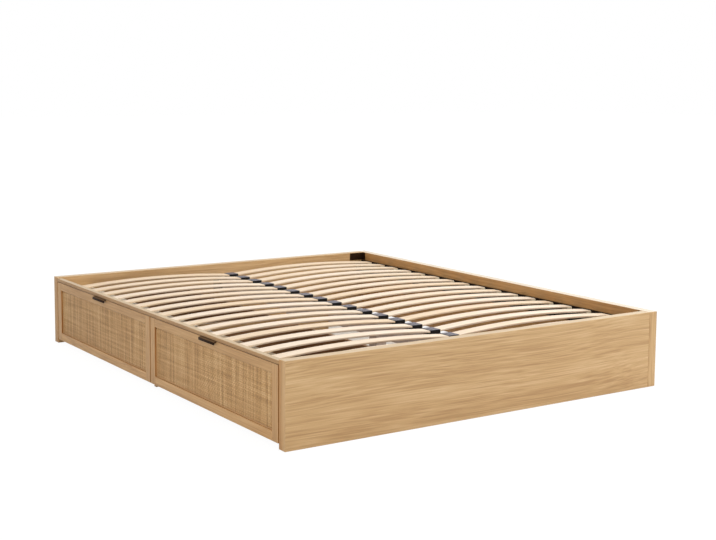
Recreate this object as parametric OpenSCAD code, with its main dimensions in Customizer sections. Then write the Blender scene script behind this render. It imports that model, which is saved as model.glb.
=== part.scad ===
// Low platform bed with a sprung-slat base and two cane-fronted drawers on one long side.
// Drawn in millimetres, +Z up. The origin is on the floor at the middle of the outer box.
// +Y runs from the foot to the head, and the drawers open towards -X.

/* [Mattress and frame] */
// Length of the mattress that the frame holds
mattress_l = 2000; // [1900:10:2200]
// Free space at each end of the mattress
mattress_gap = 5; // [0:1:20]
// Outer width of the bed, without the drawer pulls
bed_w = 1724; // [1500:2:1900]
// Height of the end panels and of the side rail
bed_h = 304; // [290:1:360]
// Thickness of the foot and head panels
panel_t = 40; // [32:1:50]
// Thickness of the closed side rail
rail_t = 40; // [32:1:50]
// Width of the small bevel along every board edge
edge_ease = 1.2; // [0.5:0.1:2]

/* [Rail over the drawers] */
// How far this rail stays below the top of the panels
lip_drop = 5; // [0:0.5:8]
// Width of the flat top of this rail
lip_w = 22; // [21:1:30]
// Thickness of the part that reaches out over the drawer fronts
lip_t = 13.5; // [8:0.5:18]
// Thickness of the upright part behind the drawer fronts
web_t = 18; // [16:1:24]

/* [Slatted base] */
// Number of slats in each of the two rows
slat_count = 17; // [12:1:18]
// Width of one slat
slat_w = 53; // [40:1:62]
// Thickness of one slat
slat_t = 8; // [6:0.5:10]
// Rise of a slat from its ends to its middle
slat_crown = 19; // [8:1:24]
// Depth of the mattress recess: from the top of the panels to the top of the slats
mattress_drop = 24; // [16:1:45]
// Distance from an end panel to the middle of the first slat
slat_first = 76; // [60:1:110]
// Free space between a slat and the rail over the drawers
slat_gap_left = 4; // [2:1:12]
// Free space between a slat and the closed side rail
slat_gap_right = 10; // [6:1:18]
// Thickness of the seat that carries the outer end of a slat
seat_t = 4; // [3:0.5:6]
// Length of that seat along the slat
seat_l = 26; // [20:1:34]
// Thickness of the walls of the slat seats and holders
seat_wall = 2; // [1.5:0.5:3]
// Thickness of the base of the double holder on the beam
holder_base = 6; // [4:0.5:8]
// Thickness of the top of the double holder
holder_top = 4; // [3:0.5:6]
// Thickness of the wall between the two pockets of a holder
holder_web = 8; // [4:0.5:12]
// Depth of one pocket of a holder
holder_pocket = 24; // [20:1:30]
// Radius of the pegs under the seats and holders
peg_r = 4; // [3:0.5:5]
// Length of those pegs
peg_l = 12; // [8:1:14]

/* [Boards under the slats] */
// Width of the board that bears the slats over the drawers
ledge_w = 122; // [100:1:180]
// Thickness of that board
ledge_t = 18; // [16:1:22]
// Width of the batten on the closed side rail
batten_w = 44; // [40:1:60]
// Height of that batten
batten_h = 40; // [30:1:60]
// Height of the stop on the batten, behind the slat ends
stop_h = 14; // [8:1:16]
// Free space between a slat end and that stop
stop_gap = 2; // [1:0.5:4]
// Width of the middle beam
beam_w = 60; // [50:1:80]
// Height of the middle beam
beam_h = 70; // [50:1:100]
// Thickness of the steel of the beam hangers and corner brackets
steel_t = 2; // [1.5:0.5:3]
// Depth of the seat of a beam hanger
hanger_depth = 40; // [30:1:60]
// Side of the square legs under the beam
leg_w = 50; // [40:1:60]
// Distance from each end panel to the nearest leg's middle
leg_y = 670; // [400:10:800]
// Height of the glides under those legs
glide_h = 10; // [6:1:20]
// Radius of those glides
glide_r = 16; // [12:1:20]
// Thickness of the upright board between the two drawers
divider_t = 18; // [16:1:25]
// Height of the cleats on the end panels
cleat_h = 22; // [16:1:24]
// Thickness of those cleats
cleat_t = 20; // [15:1:30]
// Length of the long arm of a corner bracket
bracket_long = 80; // [60:1:120]
// Length of the short arm of a corner bracket
bracket_short = 25; // [20:1:40]
// Distance from the top of the panels to a corner bracket
bracket_drop = 3; // [2:1:6]

/* [Drawers] */
// Gap between the floor and a drawer front
floor_gap = 18; // [10:1:24]
// Gap between a drawer front and the rail above it
front_top_gap = 2; // [1.5:0.5:4]
// Gap between an end panel and a drawer front
front_end_gap = 6; // [3:0.5:8]
// Gap between the two drawer fronts
front_mid_gap = 6; // [3:0.5:9]
// Thickness of a drawer front
front_t = 18; // [16:1:20]
// Width of the upright members of a front
stile_w = 40; // [38:1:60]
// Height of the level members of a front
cross_h = 34; // [30:1:50]
// Depth at which the cane lies behind the face of the front
cane_recess = 8; // [4:0.5:9]
// Thickness of the woven cane
cane_t = 2; // [1:0.5:3]
// Width of the rebate that holds the cane and its backing
rebate_w = 6; // [4:1:7]
// Depth of the drawer box from front to back
box_depth = 650; // [610:5:700]
// Gap between the drawer box and the cleats above it
box_clear = 16; // [10:1:40]
// Height of the drawer box's lower edge above the front's lower edge
box_lift = 14; // [12:1:20]
// Thickness of the sides of the drawer box
box_t = 15; // [12:1:18]
// Thickness of the bottom of the drawer box
bottom_t = 6; // [4:0.5:8]
// Height of the bottom above the lower edge of the box
bottom_up = 10; // [10:1:14]
// Depth of the groove that holds the bottom
groove_d = 6; // [4:0.5:7]

/* [Drawer pull] */
// Length of the pull along the drawer
pull_l = 124; // [80:2:300]
// Distance that the pull stands out from the front
pull_reach = 10; // [8:1:20]
// Thickness of the metal of the pull
pull_t = 2; // [1.5:0.1:2]
// Depth of the flat part that is let into the top of the front
pull_seat = 14; // [12:1:15]
// Drop of the sloped part from the front to the lip
pull_slope = 3; // [2:0.5:6]
// Height of the lip that the fingers hold
pull_lip = 9.5; // [6:0.5:16]

/* [Drawer slides] */
// Length of a slide
slide_l = 600; // [450:50:600]
// Height of a slide
slide_h = 46; // [40:1:50]
// Total thickness of a slide
slide_t = 12.7; // [12.5:0.1:13.5]
// Thickness of the steel of a slide
slide_steel = 1.2; // [1:0.1:1.5]
// Running clearance between the members of a slide
slide_clear = 0.4; // [0.3:0.05:0.5]
// Height of the middle of a slide above the drawer box's lower edge
slide_up = 80; // [60:1:95]

/* [Fasteners] */
// Radius of the shank of the wood screws
screw_r = 2; // [1.5:0.25:2.5]
// Radius of their heads
screw_head_r = 4; // [3:0.25:4.5]
// Length of those screws
screw_l = 16; // [12:1:20]
// Distance from a panel to the first screw of a long row
screw_first = 150; // [100:10:200]
// Distance from one screw of a long row to the next
screw_pitch = 250; // [200:10:270]
// Length of the screws that hold the slides
slide_screw_l = 8; // [6:1:9]
// Distance from the edge of a steel part to its screws
screw_edge = 14; // [12:1:18]
// Distance between the two screws in a row of a corner bracket
screw_gap = 30; // [20:1:40]
// Distance from the end of a cleat to its own screws
cleat_screw_edge = 18; // [14:1:22]
// Distance from the end of a cleat to the screws that come down through the ledge
ledge_screw_edge = 34; // [30:1:40]
// Distance from the ends of a slide to its screws
slide_screw_edge = 40; // [30:2:60]
// Distance from the top of a drawer box and from its bottom to the screws in its corners
box_screw_edge = 18; // [16:1:24]
// Radius of the cam bolts
bolt_r = 3; // [2.5:0.25:3.5]
// Length of a cam bolt inside the board it is screwed into
bolt_in = 12; // [8:1:14]
// Distance from a board's end to the middle of its cam
cam_back = 34; // [24:1:40]
// Distance from the top and the bottom of a panel to its outer cams
cam_edge = 60; // [50:1:80]
// The same distance on the sides of a drawer box
box_cam_edge = 42; // [36:1:56]
// Distance from the edges of the ledge to the cams in its ends
ledge_cam_edge = 33; // [28:1:36]
// Height of the bolt in the rail over the drawers, above the ledge
web_bolt_up = 14; // [12:1:18]
// Radius of a cam
cam_r = 7.5; // [6:0.5:8]
// Radius of the dowels in the drawer fronts
dowel_r = 4; // [3:0.5:5]
// Length of those dowels
dowel_l = 40; // [30:2:50]

/* [Hidden] */
$fn = 48;
slop = 1;

// Frame: measured from the outer corner of the drawer side and the foot
inner_l = mattress_l + 2 * mattress_gap;
bed_l = inner_l + 2 * panel_t;
mid_y = bed_l / 2;
rail_x = bed_w - rail_t;
lip_top = bed_h - lip_drop;
front_top = lip_top - lip_t - front_top_gap;
web_x = front_t + 2;
web_in = web_x + web_t;

// Slatted base
slat_seat_z = bed_h - mattress_drop - slat_crown - slat_t;
slat_pitch = (inner_l - 2 * slat_first) / (slat_count - 1);
slat_left = web_in + slat_gap_left;
slat_right = rail_x - slat_gap_right;
beam_x = (slat_left + slat_right) / 2;
slat_l = beam_x - holder_web / 2 - slat_left;
slat_radius = (slat_l * slat_l / 4 + slat_crown * slat_crown) / (2 * slat_crown);
seat_z = slat_seat_z - seat_t;
holder_w = slat_w + 2 * seat_wall;
holder_l = holder_web + 2 * holder_pocket;
slat_play = 0.2;
seat_play = 0.3;

// Boards under the slats
ledge_z = seat_z - ledge_t;
beam_z = slat_seat_z - holder_base - beam_h;
beam_top = beam_z + beam_h;
divider_x = web_x;
divider_y = mid_y - divider_t / 2;
stud_r = 4;
stud_l = 20;
leg_bolt_head_r = 9;
leg_bolt_head_h = 5;
leg_bolt_grip = 45;
stop_top = seat_z + stop_h;
bracket_z = stop_top + 2;
bracket_h = bed_h - bracket_drop - bracket_z;
cleat_x = web_in + 10;
cleat_l = ledge_w - 20;

// Drawers
front_y = panel_t + front_end_gap;
front_l = mid_y - front_mid_gap / 2 - front_y;
front_h = front_top - floor_gap;
opening_l = front_l - 2 * stile_w;
opening_h = front_h - 2 * cross_h;
backing_t = front_t - cane_recess - cane_t;
box_y = panel_t + slide_t;
box_w = divider_y - slide_t - box_y;
box_z = floor_gap + box_lift;
box_h = ledge_z - cleat_h - box_clear - box_z;
box_back_x = front_t + box_depth;
slide_z = box_z + slide_up;
slide_x = front_t + 6;
slide_rest = 0.6;
outer_reach = slide_t - 3.2;
middle_reach = slide_t - 2;
slide_screw_places = [slide_screw_edge, slide_l / 2, slide_l - slide_screw_edge];

// Fasteners
head_h = screw_head_r - screw_r;
cam_heights = [cam_edge, bed_h / 2, bed_h - cam_edge];
box_cam_heights = [box_z + box_cam_edge, box_z + box_h - box_cam_edge];
web_bolt_z = seat_z + web_bolt_up;
short_grip = screw_l * 3 / 4;
cam_depth = cam_r - 2;
cam_play = 0.05;
pull_play = 0.3;
side_x = -(bed_w - pull_reach) / 2;

// Places: everything below is drawn from the drawer-side foot corner of the bed
module in_bed() translate([side_x, -bed_l / 2, 0]) children();

module foot_half() in_bed() children();

module head_half() in_bed() translate([0, bed_l, 0]) mirror([0, 1, 0]) children();

module both_ends() {
  children();
  translate([0, bed_l, 0]) mirror([0, 1, 0]) children();
}

// Rectangle with its four corners bevelled
module eased_rect(w, d) {
  e = edge_ease;
  polygon([[e, 0], [w - e, 0], [w, e], [w, d - e], [w - e, d], [e, d], [0, d - e], [0, e]]);
}

// Board with all its edges bevelled, from its lowest corner
module board(size) {
  intersection() {
    linear_extrude(size.z) eased_rect(size.x, size.y);
    translate([0, size.y, 0]) rotate([90, 0, 0]) linear_extrude(size.y) eased_rect(size.x, size.z);
    rotate([90, 0, 90]) linear_extrude(size.x) eased_rect(size.y, size.z);
  }
}

// Countersunk wood screw: its head is flush with z = 0 and it points down
module wood_screw(l = screw_l) {
  translate([0, 0, -head_h]) cylinder(h = head_h, r1 = screw_r, r2 = screw_head_r);
  translate([0, 0, -l]) cylinder(h = l - head_h + 0.01, r = screw_r);
}

// ---- Places of the fasteners, used for the screws and for their holes ----

// Screws of the corner bracket at the foot end
module bracket_screws() {
  for (z = [2.5 * screw_head_r, bracket_h - 2.5 * screw_head_r]) {
    for (x = [screw_edge, screw_edge + screw_gap])
      translate([rail_x - bracket_long + x, panel_t + steel_t, bracket_z + z]) rotate([-90, 0, 0])
        wood_screw();
    translate([rail_x - steel_t, panel_t + bracket_short - 2 * screw_head_r, bracket_z + z])
      rotate([0, -90, 0]) wood_screw();
  }
}

// Screws of the beam hanger at the foot end
module hanger_screws() {
  for (x = [-1, 1], z = [screw_edge, beam_h - screw_edge])
    translate([beam_x + x * (beam_w / 2 + screw_edge), panel_t + steel_t, beam_z + z])
      rotate([-90, 0, 0]) wood_screw();
}

// Screws of the cleat at the foot end
module cleat_screws() {
  for (x = [cleat_screw_edge, cleat_l - cleat_screw_edge])
    translate([cleat_x + x, panel_t + cleat_t, ledge_z - cleat_h / 2])
      rotate([-90, 0, 0]) wood_screw(cleat_t + screw_l);
}

// Screws of the batten on the closed side rail, at the foot half
module batten_screws() {
  for (i = [0 : 3])
    translate([rail_x - batten_w, panel_t + screw_first + screw_pitch * i, seat_z - batten_h * 3 / 4])
      rotate([0, -90, 0]) wood_screw(batten_w + screw_l);
}

// Screws through the ledge into the cleat at the foot end
module ledge_end_screws() {
  for (x = [ledge_screw_edge, cleat_l - ledge_screw_edge])
    translate([cleat_x + x, panel_t + cleat_t / 2, seat_z]) wood_screw(ledge_t + screw_l);
}

// Screws through the ledge into the divider
module ledge_middle_screws() {
  for (x = [ledge_screw_edge, cleat_l - ledge_screw_edge])
    translate([cleat_x + x, mid_y, seat_z]) wood_screw(ledge_t + screw_l);
}

// Screws through the rail's web into the edge of the ledge, at the foot half
module web_screws() {
  for (i = [0 : 2])
    translate([web_x, panel_t + screw_first + screw_pitch * i, ledge_z + ledge_t / 2])
      rotate([0, -90, 0]) wood_screw(web_t + short_grip);
}

// Screws that hold the outer member of a slide to what stands beside it
module slide_outer_screws() {
  for (x = slide_screw_places) {
    translate([slide_x + x, panel_t + slide_steel, slide_z]) rotate([-90, 0, 0])
      wood_screw(slide_screw_l);
    translate([slide_x + x, divider_y - slide_steel, slide_z]) rotate([90, 0, 0])
      wood_screw(slide_screw_l);
  }
}

// Bolts and cams: the right-hand end of the foot panel, bolted to the closed side rail
module panel_bolts() {
  for (z = cam_heights)
    translate([rail_x - cam_back, panel_t / 2, z]) rotate([0, 90, 0])
      cylinder(h = cam_back + bolt_in, r = bolt_r);
}

module panel_cams() {
  for (z = cam_heights)
    translate([rail_x - cam_back, panel_t / 2 - cam_r, z]) rotate([-90, 0, 0])
      cylinder(h = panel_t / 2 + cam_r, r = cam_r);
}

// The foot end of the drawer-side rail and of the ledge, bolted to the foot panel
module rail_bolts() {
  translate([web_x + web_t / 2, panel_t - bolt_in, web_bolt_z]) rotate([-90, 0, 0])
    cylinder(h = cam_back + bolt_in, r = bolt_r);
  for (x = [ledge_cam_edge, ledge_w - ledge_cam_edge])
    translate([web_in + x, panel_t - bolt_in, ledge_z + ledge_t / 2]) rotate([-90, 0, 0])
      cylinder(h = cam_back + bolt_in, r = bolt_r);
}

module rail_cams() {
  translate([web_in, panel_t + cam_back, web_bolt_z]) rotate([0, -90, 0])
    cylinder(h = web_t / 2 + cam_depth, r = cam_r);
  for (x = [ledge_cam_edge, ledge_w - ledge_cam_edge])
    translate([web_in + x, panel_t + cam_back, ledge_z])
      cylinder(h = ledge_t / 2 + cam_depth, r = cam_r);
}

// Pegs under the seats of the slats' outer ends and under the holders
module seat_pegs() {
  for (i = [0 : slat_count - 1], x = [slat_left + seat_l / 2, slat_right - seat_l / 2])
    translate([x, slat_y(i), seat_z - peg_l]) cylinder(h = peg_l + 0.5, r = peg_r);
}

module holder_pegs() {
  for (i = [0 : slat_count - 1], x = [-1, 1])
    translate([beam_x + x * holder_l / 4, slat_y(i), beam_top - peg_l])
      cylinder(h = peg_l + 0.5, r = peg_r);
}

function slat_y(i) = panel_t + slat_first + i * slat_pitch;

// Dowels between the end of the divider and the beam
module beam_dowels() {
  for (z = [beam_z + 3 * dowel_r, ledge_z - 3 * dowel_r])
    translate([beam_x - beam_w / 2 - dowel_l / 2, mid_y, z]) rotate([0, 90, 0])
      cylinder(h = dowel_l, r = dowel_r);
}

// Bolt from the top of the beam into the leg at the foot end
module leg_bolt() {
  translate([beam_x, panel_t + leg_y, beam_top - leg_bolt_head_h])
    cylinder(h = leg_bolt_head_h, r = leg_bolt_head_r);
  translate([beam_x, panel_t + leg_y, beam_z - leg_bolt_grip])
    cylinder(h = beam_h + leg_bolt_grip - 0.5, r = stud_r);
}

// ---- Frame ----

module end_panel() {
  difference() {
    board([rail_x, panel_t, bed_h]);
    panel_bolts();
    panel_cams();
    rail_bolts();
    bracket_screws();
    hanger_screws();
    cleat_screws();
    slide_outer_screws();
  }
}

module foot_panel() color("#c79d6c") foot_half() end_panel();

module head_panel() color("#c79d6c") head_half() end_panel();

module closed_side_rail() color("#c0955f") in_bed() {
  difference() {
    translate([rail_x, 0, 0]) board([rail_t, bed_l, bed_h]);
    both_ends() {
      panel_bolts();
      bracket_screws();
      batten_screws();
    }
  }
}

module drawer_side_rail() color("#d8b689") in_bed() {
  e = edge_ease;
  bevel_z = lip_top - (web_in - lip_w) * 0.6;
  difference() {
    translate([0, panel_t + inner_l, 0]) rotate([90, 0, 0]) linear_extrude(inner_l) polygon([
      [0, lip_top - lip_t + e], [0, lip_top - e], [e, lip_top],
      [lip_w, lip_top], [web_in, bevel_z], [web_in, ledge_z], [web_x, ledge_z],
      [web_x, lip_top - lip_t], [e, lip_top - lip_t]
    ]);
    both_ends() {
      rail_bolts();
      rail_cams();
      web_screws();
    }
  }
}

module drawer_bay_ledge() color("#e0cfa9") in_bed() {
  difference() {
    translate([web_in, panel_t, ledge_z]) board([ledge_w, inner_l, ledge_t]);
    seat_pegs();
    both_ends() {
      rail_bolts();
      rail_cams();
      web_screws();
      ledge_end_screws();
    }
    ledge_middle_screws();
  }
}

module ledge_cleats() color("#e0cfa9") in_bed() both_ends() {
  difference() {
    translate([cleat_x, panel_t, ledge_z - cleat_h]) board([cleat_l, cleat_t, cleat_h]);
    cleat_screws();
    ledge_end_screws();
  }
}

module side_rail_batten() color("#3a2a1c") in_bed() {
  stop_t = slat_gap_right - stop_gap;
  difference() {
    translate([rail_x - batten_w, panel_t + inner_l, seat_z - batten_h])
      rotate([90, 0, 0]) linear_extrude(inner_l) polygon([
        [0, 0], [batten_w, 0], [batten_w, batten_h + stop_h], [batten_w - stop_t, batten_h + stop_h],
        [batten_w - stop_t, batten_h], [0, batten_h]
      ]);
    seat_pegs();
    both_ends() batten_screws();
  }
}

module centre_beam() color("#e3d8c6") in_bed() {
  difference() {
    translate([beam_x - beam_w / 2, panel_t + steel_t, beam_z])
      board([beam_w, inner_l - 2 * steel_t, beam_h]);
    holder_pegs();
    beam_dowels();
    both_ends() leg_bolt();
  }
}

module beam_hangers() color("#3a3734") in_bed() both_ends() {
  flange = 2 * screw_edge;
  difference() {
    translate([beam_x - beam_w / 2 - flange, panel_t, beam_z - steel_t]) union() {
      cube([beam_w + 2 * flange, steel_t, beam_h + steel_t - 6]);
      translate([flange - steel_t, 0, 0]) cube([beam_w + 2 * steel_t, hanger_depth, steel_t]);
      for (x = [flange - steel_t, flange + beam_w])
        translate([x, 0, 0]) cube([steel_t, hanger_depth, beam_h / 2]);
    }
    hanger_screws();
  }
}

module centre_legs() color("#e3d8c6") in_bed() both_ends() {
  difference() {
    translate([beam_x - leg_w / 2, panel_t + leg_y - leg_w / 2, glide_h])
      board([leg_w, leg_w, beam_z - glide_h]);
    translate([beam_x, panel_t + leg_y, glide_h - slop]) cylinder(h = stud_l + slop, r = stud_r);
    leg_bolt();
  }
}

module leg_glides() color("#2b2a29") in_bed() both_ends() {
  translate([beam_x, panel_t + leg_y, 0]) {
    cylinder(h = glide_h, r1 = glide_r - 1, r2 = glide_r);
    cylinder(h = glide_h + stud_l, r = stud_r);
  }
}

module leg_bolts() color("#a7a39a") in_bed() both_ends() leg_bolt();

module frame_dowels() color("#d8b689") in_bed() beam_dowels();

module bay_divider() color("#cfa877") in_bed() {
  difference() {
    translate([divider_x, divider_y, 0]) board([beam_x - beam_w / 2 - divider_x, divider_t, ledge_z]);
    both_ends() slide_outer_screws();
    ledge_middle_screws();
    beam_dowels();
  }
}

module corner_brackets() color("#3a2a1c") in_bed() both_ends() {
  difference() {
    translate([rail_x - bracket_long, panel_t, bracket_z]) union() {
      cube([bracket_long, steel_t, bracket_h]);
      translate([bracket_long - steel_t, 0, 0]) cube([steel_t, bracket_short, bracket_h]);
    }
    bracket_screws();
  }
}

module frame_screws() color("#2e1d10") in_bed() {
  both_ends() {
    bracket_screws();
    hanger_screws();
    cleat_screws();
    batten_screws();
    web_screws();
    ledge_end_screws();
  }
  ledge_middle_screws();
}

module cam_bolts() color("#a7a39a") in_bed() both_ends() {
  panel_bolts();
  rail_bolts();
}

module cams() color("#a7a39a") in_bed() both_ends() {
  difference() {
    panel_cams();
    panel_bolts();
  }
  difference() {
    rail_cams();
    rail_bolts();
  }
}

// ---- Slatted base ----

// One bowed slat from x = 0, with the underside of its ends at z = 0, or a cutter that leaves
// it some play below, at its edges and above
module slat(play = 0, above = 0) {
  w = slat_w + 2 * play;
  centre = [slat_l / 2, slat_crown - slat_radius, 0];
  rotate([90, 0, 0]) translate([0, 0, -w / 2]) intersection() {
    difference() {
      translate(centre) cylinder(h = w, r = slat_radius + slat_t + above, $fn = 720);
      translate(centre - [0, 0, slop]) cylinder(h = w + 2 * slop, r = slat_radius - play, $fn = 720);
    }
    translate([-play, -slop - play, -slop])
      cube([slat_l + 2 * play, slat_crown + slat_t + above + 2 * slop, w + 2 * slop]);
  }
}

// Every place of a slat in its row
module left_row() {
  for (i = [0 : slat_count - 1]) translate([slat_left, slat_y(i), slat_seat_z]) children();
}

module right_row() {
  for (i = [0 : slat_count - 1])
    translate([beam_x + holder_web / 2, slat_y(i), slat_seat_z]) children();
}

module slats_drawer_side() color("#f6e6cb") in_bed() left_row() slat();

module slats_closed_side() color("#f6e6cb") in_bed() right_row() slat();

// Seat for the outer end of a slat, in the slat's own place, the end at x = 0: a floor with a
// lip along each edge of the slat
module end_seat() {
  lip_y = slat_w / 2 + slat_play;
  difference() {
    translate([0, -holder_w / 2, -seat_t]) cube([seat_l, holder_w, seat_t + slat_t / 2]);
    translate([-slop, -lip_y, -seat_play]) cube([seat_l + 2 * slop, 2 * lip_y, slat_t]);
  }
}

module slat_end_seats() color("#d9cfbb") in_bed() {
  left_row() end_seat();
  right_row() translate([slat_l, 0, 0]) mirror([1, 0, 0]) end_seat();
  seat_pegs();
}

module slat_centre_holders() color("#2f2f33") in_bed() {
  difference() {
    for (i = [0 : slat_count - 1])
      translate([beam_x - holder_l / 2, slat_y(i) - holder_w / 2, beam_top])
        board([holder_l, holder_w, holder_base + slat_t + holder_top]);
    left_row() slat(slat_play, slat_play);
    right_row() slat(slat_play, slat_play);
  }
  holder_pegs();
}

// ---- Drawer slides, drawn beside the foot panel and beside the divider ----

// Channel that opens away from y = 0: its back, its reach, and its outer height
module channel(length, back, reach, height) {
  rotate([90, 0, 90]) linear_extrude(length) difference() {
    translate([back, -height / 2]) square([reach - back, height]);
    translate([back + slide_steel, -height / 2 + slide_steel])
      square([reach, height - 2 * slide_steel]);
  }
}

// Both slides of the drawer at the foot end
module slide_pair() {
  translate([slide_x, panel_t, slide_z]) children();
  translate([slide_x, divider_y, slide_z]) mirror([0, 1, 0]) children();
}

module slide_outer() {
  difference() {
    slide_pair() channel(slide_l, 0, outer_reach, slide_h);
    slide_outer_screws();
  }
}

module slide_middle() {
  step = slide_steel + slide_clear;
  slide_pair() channel(slide_l - slide_rest, step, middle_reach, slide_h - 2 * step);
}

// The inner member opens towards the middle one and is screwed to the drawer box
module slide_inner() {
  step = 2 * (slide_steel + slide_clear);
  difference() {
    slide_pair() translate([0, slide_t, 0]) mirror([0, 1, 0])
      channel(slide_l - 2 * slide_rest, 0, slide_t - step - 0.4, slide_h - 2 * step);
    slide_inner_screws();
  }
}

module slide_inner_screws() {
  for (x = slide_screw_places) {
    translate([slide_x + x, box_y - slide_steel, slide_z]) rotate([90, 0, 0])
      wood_screw(slide_screw_l);
    translate([slide_x + x, box_y + box_w + slide_steel, slide_z]) rotate([-90, 0, 0])
      wood_screw(slide_screw_l);
  }
}

// ---- Drawer: its front, from the foot panel to the middle of the bed ----

// What the rebate removes behind the opening of the front
module front_rebate() {
  translate([cane_recess, front_y + stile_w - rebate_w, floor_gap + cross_h - rebate_w])
    cube([front_t, opening_l + 2 * rebate_w, opening_h + 2 * rebate_w]);
}

module front_dowels() {
  for (y = [front_y + stile_w, front_y + front_l - stile_w])
    for (z = [floor_gap + (cross_h - rebate_w) / 2, front_top - (cross_h - rebate_w) / 2])
      translate([front_t / 2, y - dowel_l / 2, z]) rotate([-90, 0, 0])
        cylinder(h = dowel_l, r = dowel_r);
}

// Screws from the box front into the bottom member
module front_screws() {
  for (y = [0.25, 0.5, 0.75])
    translate([front_t + box_t, box_y + box_w * y, box_z + bottom_up / 2]) rotate([0, 90, 0])
      wood_screw(box_t + short_grip);
}

// Bolts in the stiles and cams in the sides of the box, which draw the front to the box
module side_bolts(play = 0) {
  for (y = [box_y + box_t / 2, box_y + box_w - box_t / 2], z = box_cam_heights)
    translate([front_t - bolt_in, y, z]) rotate([0, 90, 0])
      cylinder(h = bolt_in + cam_back + play, r = bolt_r + play);
}

module side_cams() {
  for (z = box_cam_heights) {
    translate([front_t + cam_back, box_y + box_t, z]) rotate([90, 0, 0])
      cylinder(h = box_t / 2 + cam_depth, r = cam_r);
    translate([front_t + cam_back, box_y + box_w - box_t, z]) rotate([-90, 0, 0])
      cylinder(h = box_t / 2 + cam_depth, r = cam_r);
  }
}

module pull_screws() {
  for (y = [-1, 1])
    translate([pull_seat - 5, front_y + front_l / 2 + y * pull_l / 3, front_top]) wood_screw();
}

module top_member() {
  difference() {
    translate([0, front_y + stile_w, front_top - cross_h]) board([front_t, opening_l, cross_h]);
    front_rebate();
    front_dowels();
    pull_screws();
    pull_recess();
  }
}

// What the top member loses to the pull's seat
module pull_recess() {
  length = pull_l + 2 * pull_play;
  translate([-slop, front_y + (front_l - length) / 2, front_top - pull_t])
    cube([pull_seat + pull_play + slop, length, pull_t + slop]);
}

module bottom_member() {
  difference() {
    translate([0, front_y + stile_w, floor_gap]) board([front_t, opening_l, cross_h]);
    front_rebate();
    front_dowels();
    front_screws();
  }
}

module stile(y) {
  difference() {
    translate([0, y, floor_gap]) board([front_t, stile_w, front_h]);
    front_rebate();
    front_dowels();
    side_bolts();
  }
}

module cane() {
  translate([cane_recess, front_y + stile_w - rebate_w, floor_gap + cross_h - rebate_w])
    cube([cane_t, opening_l + 2 * rebate_w, opening_h + 2 * rebate_w]);
}

module cane_backing() {
  translate([cane_recess + cane_t, front_y + stile_w - rebate_w, floor_gap + cross_h - rebate_w])
    cube([backing_t, opening_l + 2 * rebate_w, opening_h + 2 * rebate_w]);
}

// ---- Drawer: its box ----

module bottom_panel() {
  translate([front_t + box_t - groove_d, box_y + box_t - groove_d, box_z + bottom_up])
    cube([box_depth - 2 * (box_t - groove_d), box_w - 2 * (box_t - groove_d), bottom_t]);
}

module box_front() {
  difference() {
    translate([front_t, box_y + box_t, box_z]) board([box_t, box_w - 2 * box_t, box_h]);
    bottom_panel();
    front_screws();
    box_corner_screws();
  }
}

module box_back() {
  difference() {
    translate([box_back_x - box_t, box_y + box_t, box_z]) board([box_t, box_w - 2 * box_t, box_h]);
    bottom_panel();
    box_corner_screws();
  }
}

module box_side(y) {
  difference() {
    translate([front_t, y, box_z]) board([box_depth, box_t, box_h]);
    bottom_panel();
    slide_inner_screws();
    box_corner_screws();
    side_bolts();
    side_cams();
  }
}

// Screws through the sides into the front and the back of the box
module box_corner_screws() {
  for (x = [front_t + box_t / 2, box_back_x - box_t / 2])
    for (z = [box_z + bottom_up + box_screw_edge, box_z + box_h - box_screw_edge]) {
      translate([x, box_y, z]) rotate([90, 0, 0]) wood_screw(box_t + screw_l);
      translate([x, box_y + box_w, z]) rotate([-90, 0, 0]) wood_screw(box_t + screw_l);
    }
}

module drawer_screws() {
  front_screws();
  pull_screws();
  slide_inner_screws();
  box_corner_screws();
}

module drawer_fittings() {
  side_bolts();
  difference() {
    side_cams();
    side_bolts(cam_play);
  }
}

// Bent metal pull: a flat seat let into the top of the front, a slope and a lip
module pull() {
  t = pull_t;
  difference() {
    translate([0, front_y + front_l / 2 + pull_l / 2, front_top - t]) rotate([90, 0, 0])
      linear_extrude(pull_l) polygon([
        [pull_seat, 0], [pull_seat, t], [-1, t], [-pull_reach, t - pull_slope],
        [-pull_reach, t - pull_slope - pull_lip], [t - pull_reach, t - pull_slope - pull_lip],
        [t - pull_reach, -pull_slope], [-1, 0]
      ]);
    pull_screws();
  }
}

module foot_slide_outer() color("#b9bbbd") foot_half() slide_outer();

module head_slide_outer() color("#b9bbbd") head_half() slide_outer();

module slide_mount_screws() color("#8f8a80") in_bed() both_ends() slide_outer_screws();

// The drawer at the foot end
module foot_drawer_top_member() color("#c79d6c") foot_half() top_member();

module foot_drawer_bottom_member() color("#c79d6c") foot_half() bottom_member();

module foot_drawer_end_stile() color("#c79d6c") foot_half() stile(front_y);

module foot_drawer_middle_stile() color("#c79d6c") foot_half() stile(front_y + front_l - stile_w);

module foot_drawer_cane() color("#b98f5f") foot_half() cane();

module foot_drawer_cane_backing() color("#8a6a48") foot_half() cane_backing();

module foot_drawer_dowels() color("#d8b689") foot_half() front_dowels();

module foot_drawer_box_front() color("#7a5433") foot_half() box_front();

module foot_drawer_end_side() color("#7a5433") foot_half() box_side(box_y);

module foot_drawer_middle_side() color("#7a5433") foot_half() box_side(box_y + box_w - box_t);

module foot_drawer_box_back() color("#7a5433") foot_half() box_back();

module foot_drawer_bottom() color("#855d3a") foot_half() bottom_panel();

module foot_drawer_pull() color("#3b2a1c") foot_half() pull();

module foot_drawer_screws() color("#8f8a80") foot_half() drawer_screws();

module foot_drawer_fittings() color("#a7a39a") foot_half() drawer_fittings();

module foot_slide_inner() color("#b9bbbd") foot_half() slide_inner();

module foot_slide_middle() color("#c4c6c8") foot_half() slide_middle();

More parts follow.
